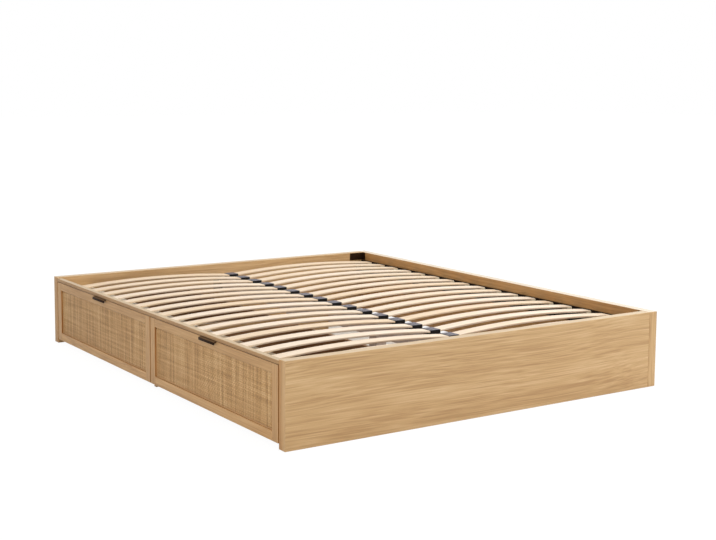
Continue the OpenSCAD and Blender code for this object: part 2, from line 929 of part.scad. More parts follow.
// The drawer at the head end
module head_drawer_top_member() color("#c79d6c") head_half() top_member();

module head_drawer_bottom_member() color("#c79d6c") head_half() bottom_member();

module head_drawer_end_stile() color("#c79d6c") head_half() stile(front_y);

module head_drawer_middle_stile() color("#c79d6c") head_half() stile(front_y + front_l - stile_w);

module head_drawer_cane() color("#b98f5f") head_half() cane();

module head_drawer_cane_backing() color("#8a6a48") head_half() cane_backing();

module head_drawer_dowels() color("#d8b689") head_half() front_dowels();

module head_drawer_box_front() color("#7a5433") head_half() box_front();

module head_drawer_end_side() color("#7a5433") head_half() box_side(box_y);

module head_drawer_middle_side() color("#7a5433") head_half() box_side(box_y + box_w - box_t);

module head_drawer_box_back() color("#7a5433") head_half() box_back();

module head_drawer_bottom() color("#855d3a") head_half() bottom_panel();

module head_drawer_pull() color("#3b2a1c") head_half() pull();

module head_drawer_screws() color("#8f8a80") head_half() drawer_screws();

module head_drawer_fittings() color("#a7a39a") head_half() drawer_fittings();

module head_slide_inner() color("#b9bbbd") head_half() slide_inner();

module head_slide_middle() color("#c4c6c8") head_half() slide_middle();

// ---- The model ----

foot_panel();
head_panel();
closed_side_rail();
drawer_side_rail();
drawer_bay_ledge();
ledge_cleats();
side_rail_batten();
centre_beam();
beam_hangers();
centre_legs();
leg_glides();
leg_bolts();
bay_divider();
corner_brackets();
frame_screws();
frame_dowels();
cam_bolts();
cams();
slats_drawer_side();
slats_closed_side();
slat_end_seats();
slat_centre_holders();
foot_slide_outer();
head_slide_outer();
slide_mount_screws();
foot_drawer_top_member();
foot_drawer_bottom_member();
foot_drawer_end_stile();
foot_drawer_middle_stile();
foot_drawer_cane();
foot_drawer_cane_backing();
foot_drawer_dowels();
foot_drawer_box_front();
foot_drawer_end_side();
foot_drawer_middle_side();
foot_drawer_box_back();
foot_drawer_bottom();
foot_drawer_pull();
foot_drawer_screws();
foot_drawer_fittings();
foot_slide_inner();
foot_slide_middle();
head_drawer_top_member();
head_drawer_bottom_member();
head_drawer_end_stile();
head_drawer_middle_stile();
head_drawer_cane();
head_drawer_cane_backing();
head_drawer_dowels();
head_drawer_box_front();
head_drawer_end_side();
head_drawer_middle_side();
head_drawer_box_back();
head_drawer_bottom();
head_drawer_pull();
head_drawer_screws();
head_drawer_fittings();
head_slide_inner();
head_slide_middle();
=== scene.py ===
"""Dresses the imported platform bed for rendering: boards, sprung slats, woven cane, pulls, slides."""
import math

import bmesh
import bpy
from bpy.props import FloatProperty, FloatVectorProperty, IntProperty, PointerProperty
from mathutils import Matrix, Vector


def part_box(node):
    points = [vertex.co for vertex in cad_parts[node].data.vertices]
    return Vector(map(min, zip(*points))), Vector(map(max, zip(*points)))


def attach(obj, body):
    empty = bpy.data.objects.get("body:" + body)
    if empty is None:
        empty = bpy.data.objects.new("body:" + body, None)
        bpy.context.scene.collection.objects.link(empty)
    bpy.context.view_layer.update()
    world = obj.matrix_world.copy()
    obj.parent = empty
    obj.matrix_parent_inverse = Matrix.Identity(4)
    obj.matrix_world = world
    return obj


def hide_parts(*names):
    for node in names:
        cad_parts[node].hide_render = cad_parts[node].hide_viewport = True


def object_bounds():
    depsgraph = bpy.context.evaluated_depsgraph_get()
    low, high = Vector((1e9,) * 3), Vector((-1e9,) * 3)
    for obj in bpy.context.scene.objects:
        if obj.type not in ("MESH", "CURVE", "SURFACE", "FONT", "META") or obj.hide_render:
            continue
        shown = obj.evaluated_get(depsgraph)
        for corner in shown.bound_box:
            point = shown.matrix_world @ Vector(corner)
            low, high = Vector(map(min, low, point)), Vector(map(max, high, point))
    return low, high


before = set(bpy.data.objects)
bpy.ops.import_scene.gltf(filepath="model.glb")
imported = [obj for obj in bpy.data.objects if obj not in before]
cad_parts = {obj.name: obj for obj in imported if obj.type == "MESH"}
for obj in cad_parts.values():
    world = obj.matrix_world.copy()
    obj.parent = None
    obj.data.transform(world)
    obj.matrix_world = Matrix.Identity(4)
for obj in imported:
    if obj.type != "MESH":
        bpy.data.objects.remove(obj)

bl_info = {
    "name": "Platform Bed Dressing",
    "version": (1, 0, 0),
    "blender": (4, 5, 0),
    "location": "3D View > Sidebar > Bed",
    "description": "Gives the packed bed its boards, slats, cane, pulls and screws",
    "category": "Object",
}

CAD_BOX = [list(corner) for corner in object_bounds()]
HALVES = ("foot", "head")
DRAWER_BODY = {"foot": "foot_drawer", "head": "head_drawer"}
MM = 0.001
UP, DOWN, LEFT = (0.0, 0.0, 1.0), (0.0, 0.0, -1.0), (-1.0, 0.0, 0.0)
AHEAD, BACK = (0.0, 1.0, 0.0), (0.0, -1.0, 0.0)
# What faces that look into the bed, into a joint, into a recess or down under a lip keep of the
# facing's red, green and blue: painted shade
INNER_SHADE = (0.80, 0.61, 0.36, 1.0)
# What the members of the drawer fronts and the rail over them keep of the facing's red, green and
# blue: painted shade, deepest on the rail and on the top member under it, least on the bottom member
TOP_SHADE, BOTTOM_SHADE = (0.90, 0.81, 0.69, 1.0), (1.03, 0.93, 0.78, 1.0)
STILE_SHADE, RAIL_SHADE = (0.95, 0.87, 0.78, 1.0), (0.80, 0.78, 0.75, 1.0)

# A pull: its sheet, its outer bend, and how far its nose slopes outwards and down
PULL_STEEL, PULL_BEND = 2 * MM, 2.4 * MM
PULL_SLOPE_RUN, PULL_SLOPE_FALL = 9 * MM, 3 * MM
# The steps of a bend, and the least radius on its inside
BEND_STEPS, LEAST_BEND = 6, 0.05 * MM
# A holder: its rounding, its side walls, half the web between its pockets, and its floor
HOLDER_ROUND, HOLDER_WALL, HOLDER_WEB, HOLDER_BASE = 1.6 * MM, 2 * MM, 4 * MM, 6 * MM
# Play above and below a slat in its pocket
POCKET_PLAY = 0.2 * MM
# The grooves on a holder: distance from its middle, half width, margin at the ends, and depth
GROOVE_PLACE, GROOVE_HALF, GROOVE_END, GROOVE_DEPTH = 9 * MM, 1.2 * MM, 7 * MM, 0.8 * MM
# How far a strand of cane rises and falls at a crossing
CANE_RISE = 0.45 * MM
# Radius that takes the sharpness off a pull's edges, and the sides of a turned screw
PULL_EDGE, SCREW_SIDES = 0.35 * MM, 16
# Points closer than this are one point, and points this near in height lie on one level
SAME_POINT, SAME_LEVEL = 1e-6, 1e-5
# The reed darkens with painted shade between these distances below the top of the opening
REED_SHADE_FROM, REED_SHADE_TO = 12 * MM, 4 * MM


# ---- Small helpers ----


def linear(hex_colour):
    """Turns an sRGB hex colour into the linear RGBA that shaders use."""
    parts = [int(hex_colour[i:i + 2], 16) / 255 for i in (1, 3, 5)]
    return tuple(c / 12.92 if c <= 0.04045 else ((c + 0.055) / 1.055) ** 2.4 for c in parts) + (1.0,)


def add(tree, kind, inputs=None, stops=(), **settings):
    """Adds a node with its settings, its values, its links and its (position, colour) stops."""
    node = tree.nodes.new(kind)
    for name, value in settings.items():
        setattr(node, name, value)
    if stops:
        elements = node.color_ramp.elements
        while len(elements) < len(stops):
            elements.new(0.5)
        for element, (position, colour) in zip(elements, stops):
            element.position = position
            element.color = colour
    for name, value in (inputs or {}).items():
        if isinstance(value, bpy.types.NodeSocket):
            tree.links.new(value, node.inputs[name])
        else:
            node.inputs[name].default_value = value
    return node


def box_of(node):
    """Lowest and highest corner of a CAD node."""
    low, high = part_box(node)
    return Vector(low), Vector(high)


def paint(node, material):
    """Gives a CAD node a finish through its object's material slots."""
    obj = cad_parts[node]
    if not obj.material_slots:
        obj.data.materials.append(material)
    for slot in obj.material_slots:
        slot.material = material


def finish_mesh(mesh, angle=35):
    """Smooths the mesh except along its sharp edges."""
    for face in mesh.polygons:
        face.use_smooth = True
    mesh.set_sharp_from_angle(angle=math.radians(angle))


def piece(name, mesh, material, body, slot, *nodes):
    """Makes a finished mesh into a piece that rides on a body and stands for CAD nodes."""
    obj = bpy.data.objects.new(name, mesh)
    bpy.context.scene.collection.objects.link(obj)
    if material is not None:
        mesh.materials.clear()
        mesh.materials.append(material)
    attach(obj, body)
    if nodes:
        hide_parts(*nodes)
    return obj


def band(bm, one, other):
    """Faces between two closed loops of as many points."""
    for i in range(len(one)):
        j = (i + 1) % len(one)
        bm.faces.new((one[i], one[j], other[j], other[i]))


def mesh_of(bm, name):
    """Turns a bmesh into a mesh with its faces outwards."""
    bmesh.ops.recalc_face_normals(bm, faces=bm.faces)
    mesh = bpy.data.meshes.new(name)
    bm.to_mesh(mesh)
    bm.free()
    return mesh


def grow(name, tree, values, source=None):
    """Runs a node tree on an empty object and returns the result as a plain mesh."""
    host = bpy.data.objects.new(name + "_host", bpy.data.meshes.new(name + "_host"))
    bpy.context.scene.collection.objects.link(host)
    modifier = host.modifiers.new("nodes", "NODES")
    modifier.node_group = tree
    for item in tree.interface.items_tree:
        if item.item_type == "SOCKET" and item.in_out == "INPUT" and item.name in values:
            modifier[item.identifier] = values[item.name]
    depsgraph = bpy.context.evaluated_depsgraph_get()
    mesh = bpy.data.meshes.new_from_object(host.evaluated_get(depsgraph), depsgraph=depsgraph)
    mesh.name = name
    host.modifiers.remove(modifier)
    bpy.data.objects.remove(host)
    if source is not None:
        bpy.data.objects.remove(source)
    bm = bmesh.new()
    bm.from_mesh(mesh)
    if bm.calc_volume(signed=True) < 0:
        bmesh.ops.reverse_faces(bm, faces=bm.faces)
        bm.to_mesh(mesh)
    bm.free()
    return mesh


def new_tree(name, sockets):
    """Starts a geometry node tree with named inputs, and returns it with its input and output."""
    tree = bpy.data.node_groups.new(name, "GeometryNodeTree")
    tree.interface.new_socket("Geometry", in_out="OUTPUT", socket_type="NodeSocketGeometry")
    for label, kind in sockets:
        tree.interface.new_socket(label, in_out="INPUT", socket_type="NodeSocket" + kind)
    return tree, tree.nodes.new("NodeGroupInput"), tree.nodes.new("NodeGroupOutput")


def close_tree(tree, inputs, outputs, geometry):
    """Ends a tree in Realize Instances and Set Material."""
    real = add(tree, "GeometryNodeRealizeInstances", {"Geometry": geometry})
    done = add(tree, "GeometryNodeSetMaterial",
               {"Geometry": real.outputs[0], "Material": inputs.outputs["Finish"]})
    tree.links.new(done.outputs[0], outputs.inputs[0])


# ---- Finishes ----


class Finishes:
    """Every material of the bed, made once and kept by name."""

    made = {}

    @classmethod
    def get(cls, name, build, *details):
        if name not in cls.made:
            cls.made[name] = build(name, *details)
        return cls.made[name]


def blank_material(name):
    """A material with only its output and its main shader."""
    material = bpy.data.materials.new(name)
    material.use_nodes = True
    tree = material.node_tree
    tree.nodes.clear()
    output = tree.nodes.new("ShaderNodeOutputMaterial")
    shader = tree.nodes.new("ShaderNodeBsdfPrincipled")
    tree.links.new(shader.outputs[0], output.inputs["Surface"])
    return material, tree, shader


def stretch_of(axis, share):
    """Scale that draws a pattern out along one axis."""
    return tuple(share if letter == axis else 1.0 for letter in "XYZ")


def facing(tree, direction, low=0.5, high=0.9):
    """One on faces that look along a direction, nought on the others."""
    normal = add(tree, "ShaderNodeNewGeometry").outputs["Normal"]
    share = add(tree, "ShaderNodeVectorMath", {0: normal, 1: direction},
                operation="DOT_PRODUCT").outputs["Value"]
    return add(tree, "ShaderNodeMapRange", {0: share, 1: low, 2: high}).outputs[0]


def turned_to(tree, way, amount, under, over, low=0.5, high=0.9):
    """Colour that changes to another, by this amount, on faces that look one way."""
    share = add(tree, "ShaderNodeMath", {0: facing(tree, way, low, high), 1: amount},
                operation="MULTIPLY").outputs[0]
    return add(tree, "ShaderNodeMix", {0: share, 6: under, 7: over}, data_type="RGBA").outputs[2]


def grain_space(tree, axis, cut):
    """Object coordinates turned so that X runs along the grain, and moved to the part of the
    sheet that the board is cut from. A board's end edges carry a glued band of their own, whose
    grain runs up the edge."""
    coords = add(tree, "ShaderNodeTexCoord").outputs["Object"]
    part = add(tree, "ShaderNodeSeparateXYZ", {0: coords}).outputs

    def turned(order):
        return add(tree, "ShaderNodeCombineXYZ",
                   {i: part["XYZ".index(letter)] for i, letter in enumerate(order)}).outputs[0]

    face = turned({"X": "XYZ", "Y": "YXZ", "Z": "ZXY"}[axis])
    face = add(tree, "ShaderNodeVectorMath", {0: face, 1: (0.0, 0.0, cut)},
               operation="ADD").outputs[0]
    band = turned("YXZ" if axis == "Z" else "ZXY")
    way = Vector(letter == axis for letter in "XYZ")
    ends = add(tree, "ShaderNodeMath", {0: facing(tree, way), 1: facing(tree, -way)},
               operation="MAXIMUM").outputs[0]
    return add(tree, "ShaderNodeMix", {0: ends, 4: face, 5: band}, data_type="VECTOR").outputs[1]


def streaked(tree, space, stretch, scale, detail=2.0, roughness=0.5, distortion=0.0):
    """Noise drawn out by a stretch along each axis, as streaks, fibres or flecks."""
    long = add(tree, "ShaderNodeMapping", {"Vector": space, "Scale": stretch}).outputs[0]
    return add(tree, "ShaderNodeTexNoise", {
        "Vector": long, "Scale": scale, "Detail": detail, "Roughness": roughness,
        "Distortion": distortion}).outputs[0]


def swung(tree, tone, *layers):
    """A tone moved up and down by layers of noise, each with the whole of its swing."""
    for layer, swing in layers:
        level = add(tree, "ShaderNodeMath", {0: layer, 1: 0.5}, operation="SUBTRACT").outputs[0]
        tone = add(tree, "ShaderNodeMath", {0: level, 1: swing, 2: tone},
                   operation="MULTIPLY_ADD").outputs[0]
    return tone


def grey(level):
    """A grey as linear RGBA."""
    return (level, level, level, 1.0)


def oak_facing(name, axis, inner, depth, shade_tone, edge, joint, cut, dark, middle, light):
    """Oak-effect foil, printed and pressed: long streaks that sway together, rings that close
    into arches, a faint pore relief, and a paler band on the upward faces, which is partly an
    edge band of its own and partly painted top light and sheen. Painted shade darkens the sides
    that look into the bed, into a joint or into a recess, and the end face towards the drawer
    between the pair of places along Y given as the joint; a shade tone, where given, is painted
    shade over the whole board."""
    material, tree, shader = blank_material(name)
    space = grain_space(tree, axis, cut)

    def drawn(share, scale, *more):
        return streaked(tree, space, (share, 1.0, 1.0), scale, *more)

    # The grain sways by up to about 20 mm in a length of about a metre
    sway = swung(tree, 0.0, (drawn(0.22, 4.5, 1.0), 0.06))
    aside = add(tree, "ShaderNodeCombineXYZ", {1: sway, 2: sway}).outputs[0]
    space = add(tree, "ShaderNodeVectorMath", {0: space, 1: aside}, operation="ADD").outputs[0]
    figure = drawn(0.085, 8.5, 1.5, 0.45, 0.25)
    # About one ring each 15 mm across the board
    turns = add(tree, "ShaderNodeMath", {0: figure, 1: 62.0}, operation="MULTIPLY").outputs[0]
    waves = add(tree, "ShaderNodeMath", {0: turns}, operation="SINE").outputs[0]
    rings = add(tree, "ShaderNodeMath", {0: waves, 1: drawn(0.3, 4.0, 1.0)},
                operation="MULTIPLY").outputs[0]
    # Streaks 10 mm wide and 600 mm long, lines of 5 mm, fibres of 2 mm and bands of 60 mm
    streaks, lines = drawn(0.016, 100.0), drawn(0.013, 215.0, 2.0, 0.6)
    fibres, broad = drawn(0.018, 430.0, 3.0, 0.6), drawn(0.03, 17.0, 1.0)
    tone = add(tree, "ShaderNodeMath", {0: rings, 1: 0.14, 2: 0.48},
               operation="MULTIPLY_ADD").outputs[0]
    tone = swung(tree, tone, (streaks, 0.45), (lines, 1.35), (fibres, 0.65), (broad, 0.6))
    colour = add(tree, "ShaderNodeValToRGB", {"Fac": tone},
                 stops=[(0.12, dark), (0.5, middle), (0.88, light)]).outputs[0]
    # Pores: thin dark dashes 1 mm wide and 9 mm long that follow the grain
    pore = add(tree, "ShaderNodeValToRGB", {"Fac": drawn(0.12, 900.0, 1.0)},
               stops=[(0.60, grey(0.0)), (0.70, grey(1.0))]).outputs[0]
    shown = add(tree, "ShaderNodeMath", {0: pore, 1: 0.16}, operation="MULTIPLY").outputs[0]
    colour = add(tree, "ShaderNodeMix", {0: shown, 6: colour, 7: dark},
                 data_type="RGBA").outputs[2]
    # Painted shade over the whole board, fitted to each member
    if shade_tone is not None:
        colour = add(tree, "ShaderNodeMix", {0: 1.0, 6: colour, 7: shade_tone},
                     data_type="RGBA", blend_type="MULTIPLY").outputs[2]
    # Painted shade on the sides that look into the bed, into a joint or into a recess
    if inner:
        painted_shade = add(tree, "ShaderNodeMix", {0: 1.0, 6: colour, 7: INNER_SHADE},
                   data_type="RGBA", blend_type="MULTIPLY").outputs[2]
    for way in inner:
        colour = turned_to(tree, way, depth, colour, painted_shade)
    # Painted shade on the end face, growing towards the drawer
    if joint is not None:
        place = add(tree, "ShaderNodeTexCoord").outputs["Object"]
        along = add(tree, "ShaderNodeSeparateXYZ", {0: place}).outputs[1]
        near = add(tree, "ShaderNodeMapRange", {0: along, 1: joint[0], 2: joint[1]}).outputs[0]
        colour = turned_to(tree, LEFT, near, colour, painted_shade)
    # Paler upward faces: partly an edge band of its own, partly painted top light and sheen
    if UP not in inner:
        colour = turned_to(tree, UP, 0.6, colour, edge, 0.7, 0.95)
    tree.links.new(colour, shader.inputs["Base Color"])
    dull = add(tree, "ShaderNodeMath", {0: streaks, 1: 0.16, 2: 0.42}, operation="MULTIPLY_ADD")
    tree.links.new(dull.outputs[0], shader.inputs["Roughness"])
    sunk = add(tree, "ShaderNodeMath", {0: pore, 1: 0.5}, operation="MULTIPLY").outputs[0]
    relief = add(tree, "ShaderNodeMath", {0: fibres, 1: sunk}, operation="SUBTRACT").outputs[0]
    bump = add(tree, "ShaderNodeBump", {"Height": relief, "Strength": 0.12, "Distance": 0.2 * MM})
    tree.links.new(bump.outputs[0], shader.inputs["Normal"])
    return material


def laminated_beech(name, pale, warm, glue):
    """Steamed beech veneers glued and bent: a creamy top with short flecks, each slat a little
    different, and thin dark glue lines along the edges."""
    material, tree, shader = blank_material(name)
    coords = add(tree, "ShaderNodeTexCoord").outputs["Object"]
    # Streaks 6 mm wide and 200 mm long, and flecks 1.3 mm wide and 8 mm long
    streaks = streaked(tree, coords, stretch_of("X", 0.03), 160.0)
    flecks = streaked(tree, coords, stretch_of("X", 0.16), 760.0)
    tint = add(tree, "ShaderNodeAttribute", attribute_name="tint").outputs["Fac"]
    tone = swung(tree, 0.42, (streaks, 1.1), (flecks, 0.35), (tint, 0.45))
    colour = add(tree, "ShaderNodeValToRGB", {"Fac": tone},
                 stops=[(0.1, pale), (0.9, warm)]).outputs[0]
    # Seven glue lines in the thickness of a slat
    ply = add(tree, "ShaderNodeAttribute", attribute_name="ply").outputs["Fac"]
    turns = add(tree, "ShaderNodeMath", {0: ply, 1: math.pi * 7}, operation="MULTIPLY").outputs[0]
    waves = add(tree, "ShaderNodeMath", {0: turns}, operation="SINE").outputs[0]
    lines = add(tree, "ShaderNodeMath", {0: waves}, operation="ABSOLUTE").outputs[0]
    lines = add(tree, "ShaderNodeMapRange", {0: lines, 1: 0.0, 2: 0.35, 3: 0.3, 4: 0.0}).outputs[0]
    normal = add(tree, "ShaderNodeNewGeometry").outputs["Normal"]
    z = add(tree, "ShaderNodeSeparateXYZ", {0: normal}).outputs[2]
    level = add(tree, "ShaderNodeMath", {0: z}, operation="ABSOLUTE").outputs[0]
    side = add(tree, "ShaderNodeMapRange", {0: level, 1: 0.35, 2: 0.8, 3: 1.0, 4: 0.0}).outputs[0]
    warmth = add(tree, "ShaderNodeMath", {0: side, 1: 0.12}, operation="MULTIPLY").outputs[0]
    edge = add(tree, "ShaderNodeMix", {0: warmth, 6: colour, 7: warm}, data_type="RGBA").outputs[2]
    glued = add(tree, "ShaderNodeMath", {0: lines, 1: side}, operation="MULTIPLY").outputs[0]
    colour = add(tree, "ShaderNodeMix", {0: glued, 6: edge, 7: glue}, data_type="RGBA").outputs[2]
    tree.links.new(colour, shader.inputs["Base Color"])
    dull = add(tree, "ShaderNodeMath", {0: streaks, 1: 0.15, 2: 0.42}, operation="MULTIPLY_ADD")
    tree.links.new(dull.outputs[0], shader.inputs["Roughness"])
    bump = add(tree, "ShaderNodeBump", {"Height": flecks, "Strength": 0.1, "Distance": 0.2 * MM})
    tree.links.new(bump.outputs[0], shader.inputs["Normal"])
    return material


def plain_timber(name, axis, pale, warm, rough, gloss=0.5):
    """Planed softwood or plain board: even, with soft streaks along its length."""
    material, tree, shader = blank_material(name)
    coords = add(tree, "ShaderNodeTexCoord").outputs["Object"]
    # Streaks 8 mm wide and 190 mm long, and fibres 1.6 mm wide and 32 mm long
    streaks = streaked(tree, coords, stretch_of(axis, 0.04), 130.0, 3.0, 0.55)
    fibres = streaked(tree, coords, stretch_of(axis, 0.05), 620.0, 2.0, 0.6)
    tone = swung(tree, 0.5, (streaks, 1.2), (fibres, 0.4))
    colour = add(tree, "ShaderNodeValToRGB", {"Fac": tone},
                 stops=[(0.1, pale), (0.9, warm)]).outputs[0]
    tree.links.new(colour, shader.inputs["Base Color"])
    shader.inputs["Roughness"].default_value = rough
    shader.inputs["Specular IOR Level"].default_value = gloss
    bump = add(tree, "ShaderNodeBump", {"Height": fibres, "Strength": 0.12, "Distance": 0.2 * MM})
    tree.links.new(bump.outputs[0], shader.inputs["Normal"])
    return material


def cane_strand(name, pale, middle, dark):
    """Peeled rattan cane, split and woven: a waxy straw skin whose strands differ in tone, so
    the panel shows upright bands a few strands wide."""
    material, tree, shader = blank_material(name)
    coords = add(tree, "ShaderNodeTexCoord").outputs["Object"]
    # Tones change every 13 mm across the upright strands and every 11 mm across the level
    # ones, hold for 350 mm and more along a strand, and carry a mottle of 4 mm
    upright = streaked(tree, coords, (0.0, 1.0, 0.03), 75.0, 2.0, 0.6)
    level = streaked(tree, coords, (0.0, 0.03, 1.0), 95.0, 2.0, 0.6)
    mottle = add(tree, "ShaderNodeTexNoise", {"Vector": coords, "Scale": 240.0}).outputs[0]
    turned = add(tree, "ShaderNodeAttribute", attribute_name="upright").outputs["Fac"]
    tone = swung(tree, 0.5, (upright, 1.5), (level, 1.1), (mottle, 0.4), (turned, 0.14))
    colour = add(tree, "ShaderNodeValToRGB", {"Fac": tone},
                 stops=[(0.15, dark), (0.5, middle), (0.85, pale)]).outputs[0]
    tree.links.new(colour, shader.inputs["Base Color"])
    shader.inputs["Roughness"].default_value = 0.48
    return material


def shaded_reed(name, pale, dark, top):
    """Reed pressed into the groove round the cane: mottled with wax, and darkened by painted shade
    where it runs under the top member."""
    material, tree, shader = blank_material(name)
    coords = add(tree, "ShaderNodeTexCoord").outputs["Object"]
    # The mottle is 6 mm across
    mottle = add(tree, "ShaderNodeTexNoise", {"Vector": coords, "Scale": 180.0}).outputs[0]
    # Painted shade under the top member, by height
    z = add(tree, "ShaderNodeSeparateXYZ", {0: coords}).outputs[2]
    under = add(tree, "ShaderNodeMapRange",
                {0: z, 1: top - REED_SHADE_FROM, 2: top - REED_SHADE_TO}).outputs[0]
    shade = swung(tree, under, (mottle, 0.3))
    colour = add(tree, "ShaderNodeMix", {0: shade, 6: pale, 7: dark}, data_type="RGBA").outputs[2]
    tree.links.new(colour, shader.inputs["Base Color"])
    shader.inputs["Roughness"].default_value = 0.6
    return material


def moulded_nylon(name, colour, rough, top=None):
    """Injection-moulded nylon: even colour with the faint orange peel of the mould, and a painted
    reflection that lightens the top where a top colour is given."""
    material, tree, shader = blank_material(name)
    coords = add(tree, "ShaderNodeTexCoord").outputs["Object"]
    # Peel of 1 mm, drawn coarser than a real mould's so that a close view shows it, and
    # clouds of 17 mm
    peel = add(tree, "ShaderNodeTexNoise", {"Vector": coords, "Scale": 900.0}).outputs[0]
    cloud = add(tree, "ShaderNodeTexNoise", {"Vector": coords, "Scale": 60.0}).outputs[0]
    lighter = tuple(min(1.0, c * 1.2) for c in colour[:3]) + (1.0,)
    tint = add(tree, "ShaderNodeMix", {0: cloud, 6: colour, 7: lighter},
               data_type="RGBA").outputs[2]
    if top is not None:
        # Painted reflection: the upward faces turn to the top colour
        tint = turned_to(tree, UP, 1.0, tint, top, 0.75, 0.97)
        shader.inputs["Specular IOR Level"].default_value = 0.15
    tree.links.new(tint, shader.inputs["Base Color"])
    dull = add(tree, "ShaderNodeMath", {0: cloud, 1: 0.1, 2: rough}, operation="MULTIPLY_ADD")
    tree.links.new(dull.outputs[0], shader.inputs["Roughness"])
    bump = add(tree, "ShaderNodeBump", {"Height": peel, "Strength": 0.15, "Distance": 0.1 * MM})
    tree.links.new(bump.outputs[0], shader.inputs["Normal"])
    return material


def coated_steel(name, colour, sheen_and_wear, rough):
    """Sheet steel with a dark baked coating: fine speckle, faint lighter clouds of wear, and upward
    faces lighter as a painted reflection.
    """
    material, tree, shader = blank_material(name)
    coords = add(tree, "ShaderNodeTexCoord").outputs["Object"]
    # Speckle of 0.7 mm, drawn coarser than a real coating's so that a close view shows it,
    # and clouds of 22 mm
    speckle = add(tree, "ShaderNodeTexNoise", {"Vector": coords, "Scale": 1400.0}).outputs[0]
    cloud = add(tree, "ShaderNodeTexNoise",
                {"Vector": coords, "Scale": 45.0, "Detail": 3.0}).outputs[0]
    # Painted reflection: the upward faces turn lighter
    colour = turned_to(tree, UP, 0.9, colour, sheen_and_wear, 0.8, 0.98)
    share = add(tree, "ShaderNodeMath", {0: cloud, 1: 0.06}, operation="MULTIPLY").outputs[0]
    colour = add(tree, "ShaderNodeMix", {0: share, 6: colour, 7: sheen_and_wear},
                 data_type="RGBA").outputs[2]
    tree.links.new(colour, shader.inputs["Base Color"])
    shader.inputs["Specular IOR Level"].default_value = 0.06
    dull = add(tree, "ShaderNodeMath", {0: speckle, 1: 0.12, 2: rough}, operation="MULTIPLY_ADD")
    tree.links.new(dull.outputs[0], shader.inputs["Roughness"])
    bump = add(tree, "ShaderNodeBump", {"Height": speckle, "Strength": 0.12, "Distance": 0.1 * MM})
    tree.links.new(bump.outputs[0], shader.inputs["Normal"])
    return material


def zinc_steel(name, colour, blue):
    """Bright zinc plating on rolled steel: drawn along X, cool and slightly cloudy."""
    material, tree, shader = blank_material(name)
    coords = add(tree, "ShaderNodeTexCoord").outputs["Object"]
    # Lines 1 mm wide and 56 mm long, drawn coarser than real so that a close view shows
    # them, and clouds of 33 mm
    drawn = streaked(tree, coords, stretch_of("X", 0.02), 900.0)
    cloud = add(tree, "ShaderNodeTexNoise",
                {"Vector": coords, "Scale": 30.0, "Detail": 3.0}).outputs[0]
    colour = add(tree, "ShaderNodeMix", {0: cloud, 6: colour, 7: blue},
                 data_type="RGBA").outputs[2]
    tree.links.new(colour, shader.inputs["Base Color"])
    shader.inputs["Metallic"].default_value = 1.0
    dull = add(tree, "ShaderNodeMath", {0: drawn, 1: 0.2, 2: 0.25}, operation="MULTIPLY_ADD")
    tree.links.new(dull.outputs[0], shader.inputs["Roughness"])
    bump = add(tree, "ShaderNodeBump", {"Height": drawn, "Strength": 0.08, "Distance": 0.1 * MM})
    tree.links.new(bump.outputs[0], shader.inputs["Normal"])
    return material


def moulded_rubber(name, colour, pale):
    """Moulded rubber: dull, with a fine grain."""
    material, tree, shader = blank_material(name)
    coords = add(tree, "ShaderNodeTexCoord").outputs["Object"]
    # Grain of 0.9 mm, drawn coarser than real so that a close view shows it
    grain = add(tree, "ShaderNodeTexNoise", {"Vector": coords, "Scale": 1100.0}).outputs[0]
    colour = add(tree, "ShaderNodeMix", {0: grain, 6: colour, 7: pale},
                 data_type="RGBA").outputs[2]
    tree.links.new(colour, shader.inputs["Base Color"])
    shader.inputs["Roughness"].default_value = 0.82
    bump = add(tree, "ShaderNodeBump", {"Height": grain, "Strength": 0.2, "Distance": 0.1 * MM})
    tree.links.new(bump.outputs[0], shader.inputs["Normal"])
    return material


def colour_of(name):
    """A colour that the user can change, as linear RGBA."""
    return tuple(getattr(bpy.context.scene.bed_colours, name)) + (1.0,)


def oak(axis, side="plain", inner=(), depth=1.0, tone=None, edge="oak_edge", joint=None,
        cut=0.0):
    """Oak-effect facing whose grain runs along one axis. Depth is how much painted shade its
    inner sides take, tone is painted shade over the whole board, and cut is how far across the
    sheet the board lies, in metres."""
    return Finishes.get("oak_facing_grain_%s_%s" % (axis.lower(), side), oak_facing, axis, inner,
                        depth, tone, colour_of(edge), joint, cut, colour_of("oak_dark"),
                        colour_of("oak"), colour_of("oak_light"))


def beech():
    """Bent laminated beech of the slats."""
    return Finishes.get("laminated_beech", laminated_beech, colour_of("beech"),
                        colour_of("beech_warm"), linear("#a07c52"))


def board(axis):
    """Pale melamine-faced board of the ledge and its cleats: smooth, with faint streaks."""
    return Finishes.get("pale_board_grain_" + axis.lower(), plain_timber, axis,
                        colour_of("board"), linear("#efe5cf"), 0.45)


def lining(axis):
    """Brown melamine-faced board of the drawer boxes: even and rather dull."""
    return Finishes.get("brown_board_grain_" + axis.lower(), plain_timber, axis,
                        colour_of("lining"), linear("#86603a"), 0.55)


def softwood(axis):
    """Planed softwood of the beam, its legs and the dowels: pale and slightly pink."""
    return Finishes.get("planed_softwood_grain_" + axis.lower(), plain_timber, axis,
                        linear("#e6dad2"), linear("#d3c2b6"), 0.6)


def zinc():
    """Zinc-plated steel of the slides, cams, bolts and drawer screws."""
    return Finishes.get("zinc_plated_steel", zinc_steel, linear("#b4b5b4"), linear("#9fa5ab"))


def dark_steel():
    """Dark coated steel of the brackets, the hangers and the frame's screws."""
    return Finishes.get("dark_coated_steel", coated_steel, linear("#2a190d"), linear("#332114"),
                        0.45)


# ---- Sizes and colours that a user would change ----


def length(name, text, default):
    """A length in metres for the panel."""
    return FloatProperty(name=name, description=text, default=default, unit="LENGTH",
                         subtype="DISTANCE", min=0.0)


def colour(name, text, default):
    """A colour for the panel."""
    return FloatVectorProperty(name=name, description=text, default=linear(default)[:3],
                               subtype="COLOR", size=3, min=0.0, max=1.0)


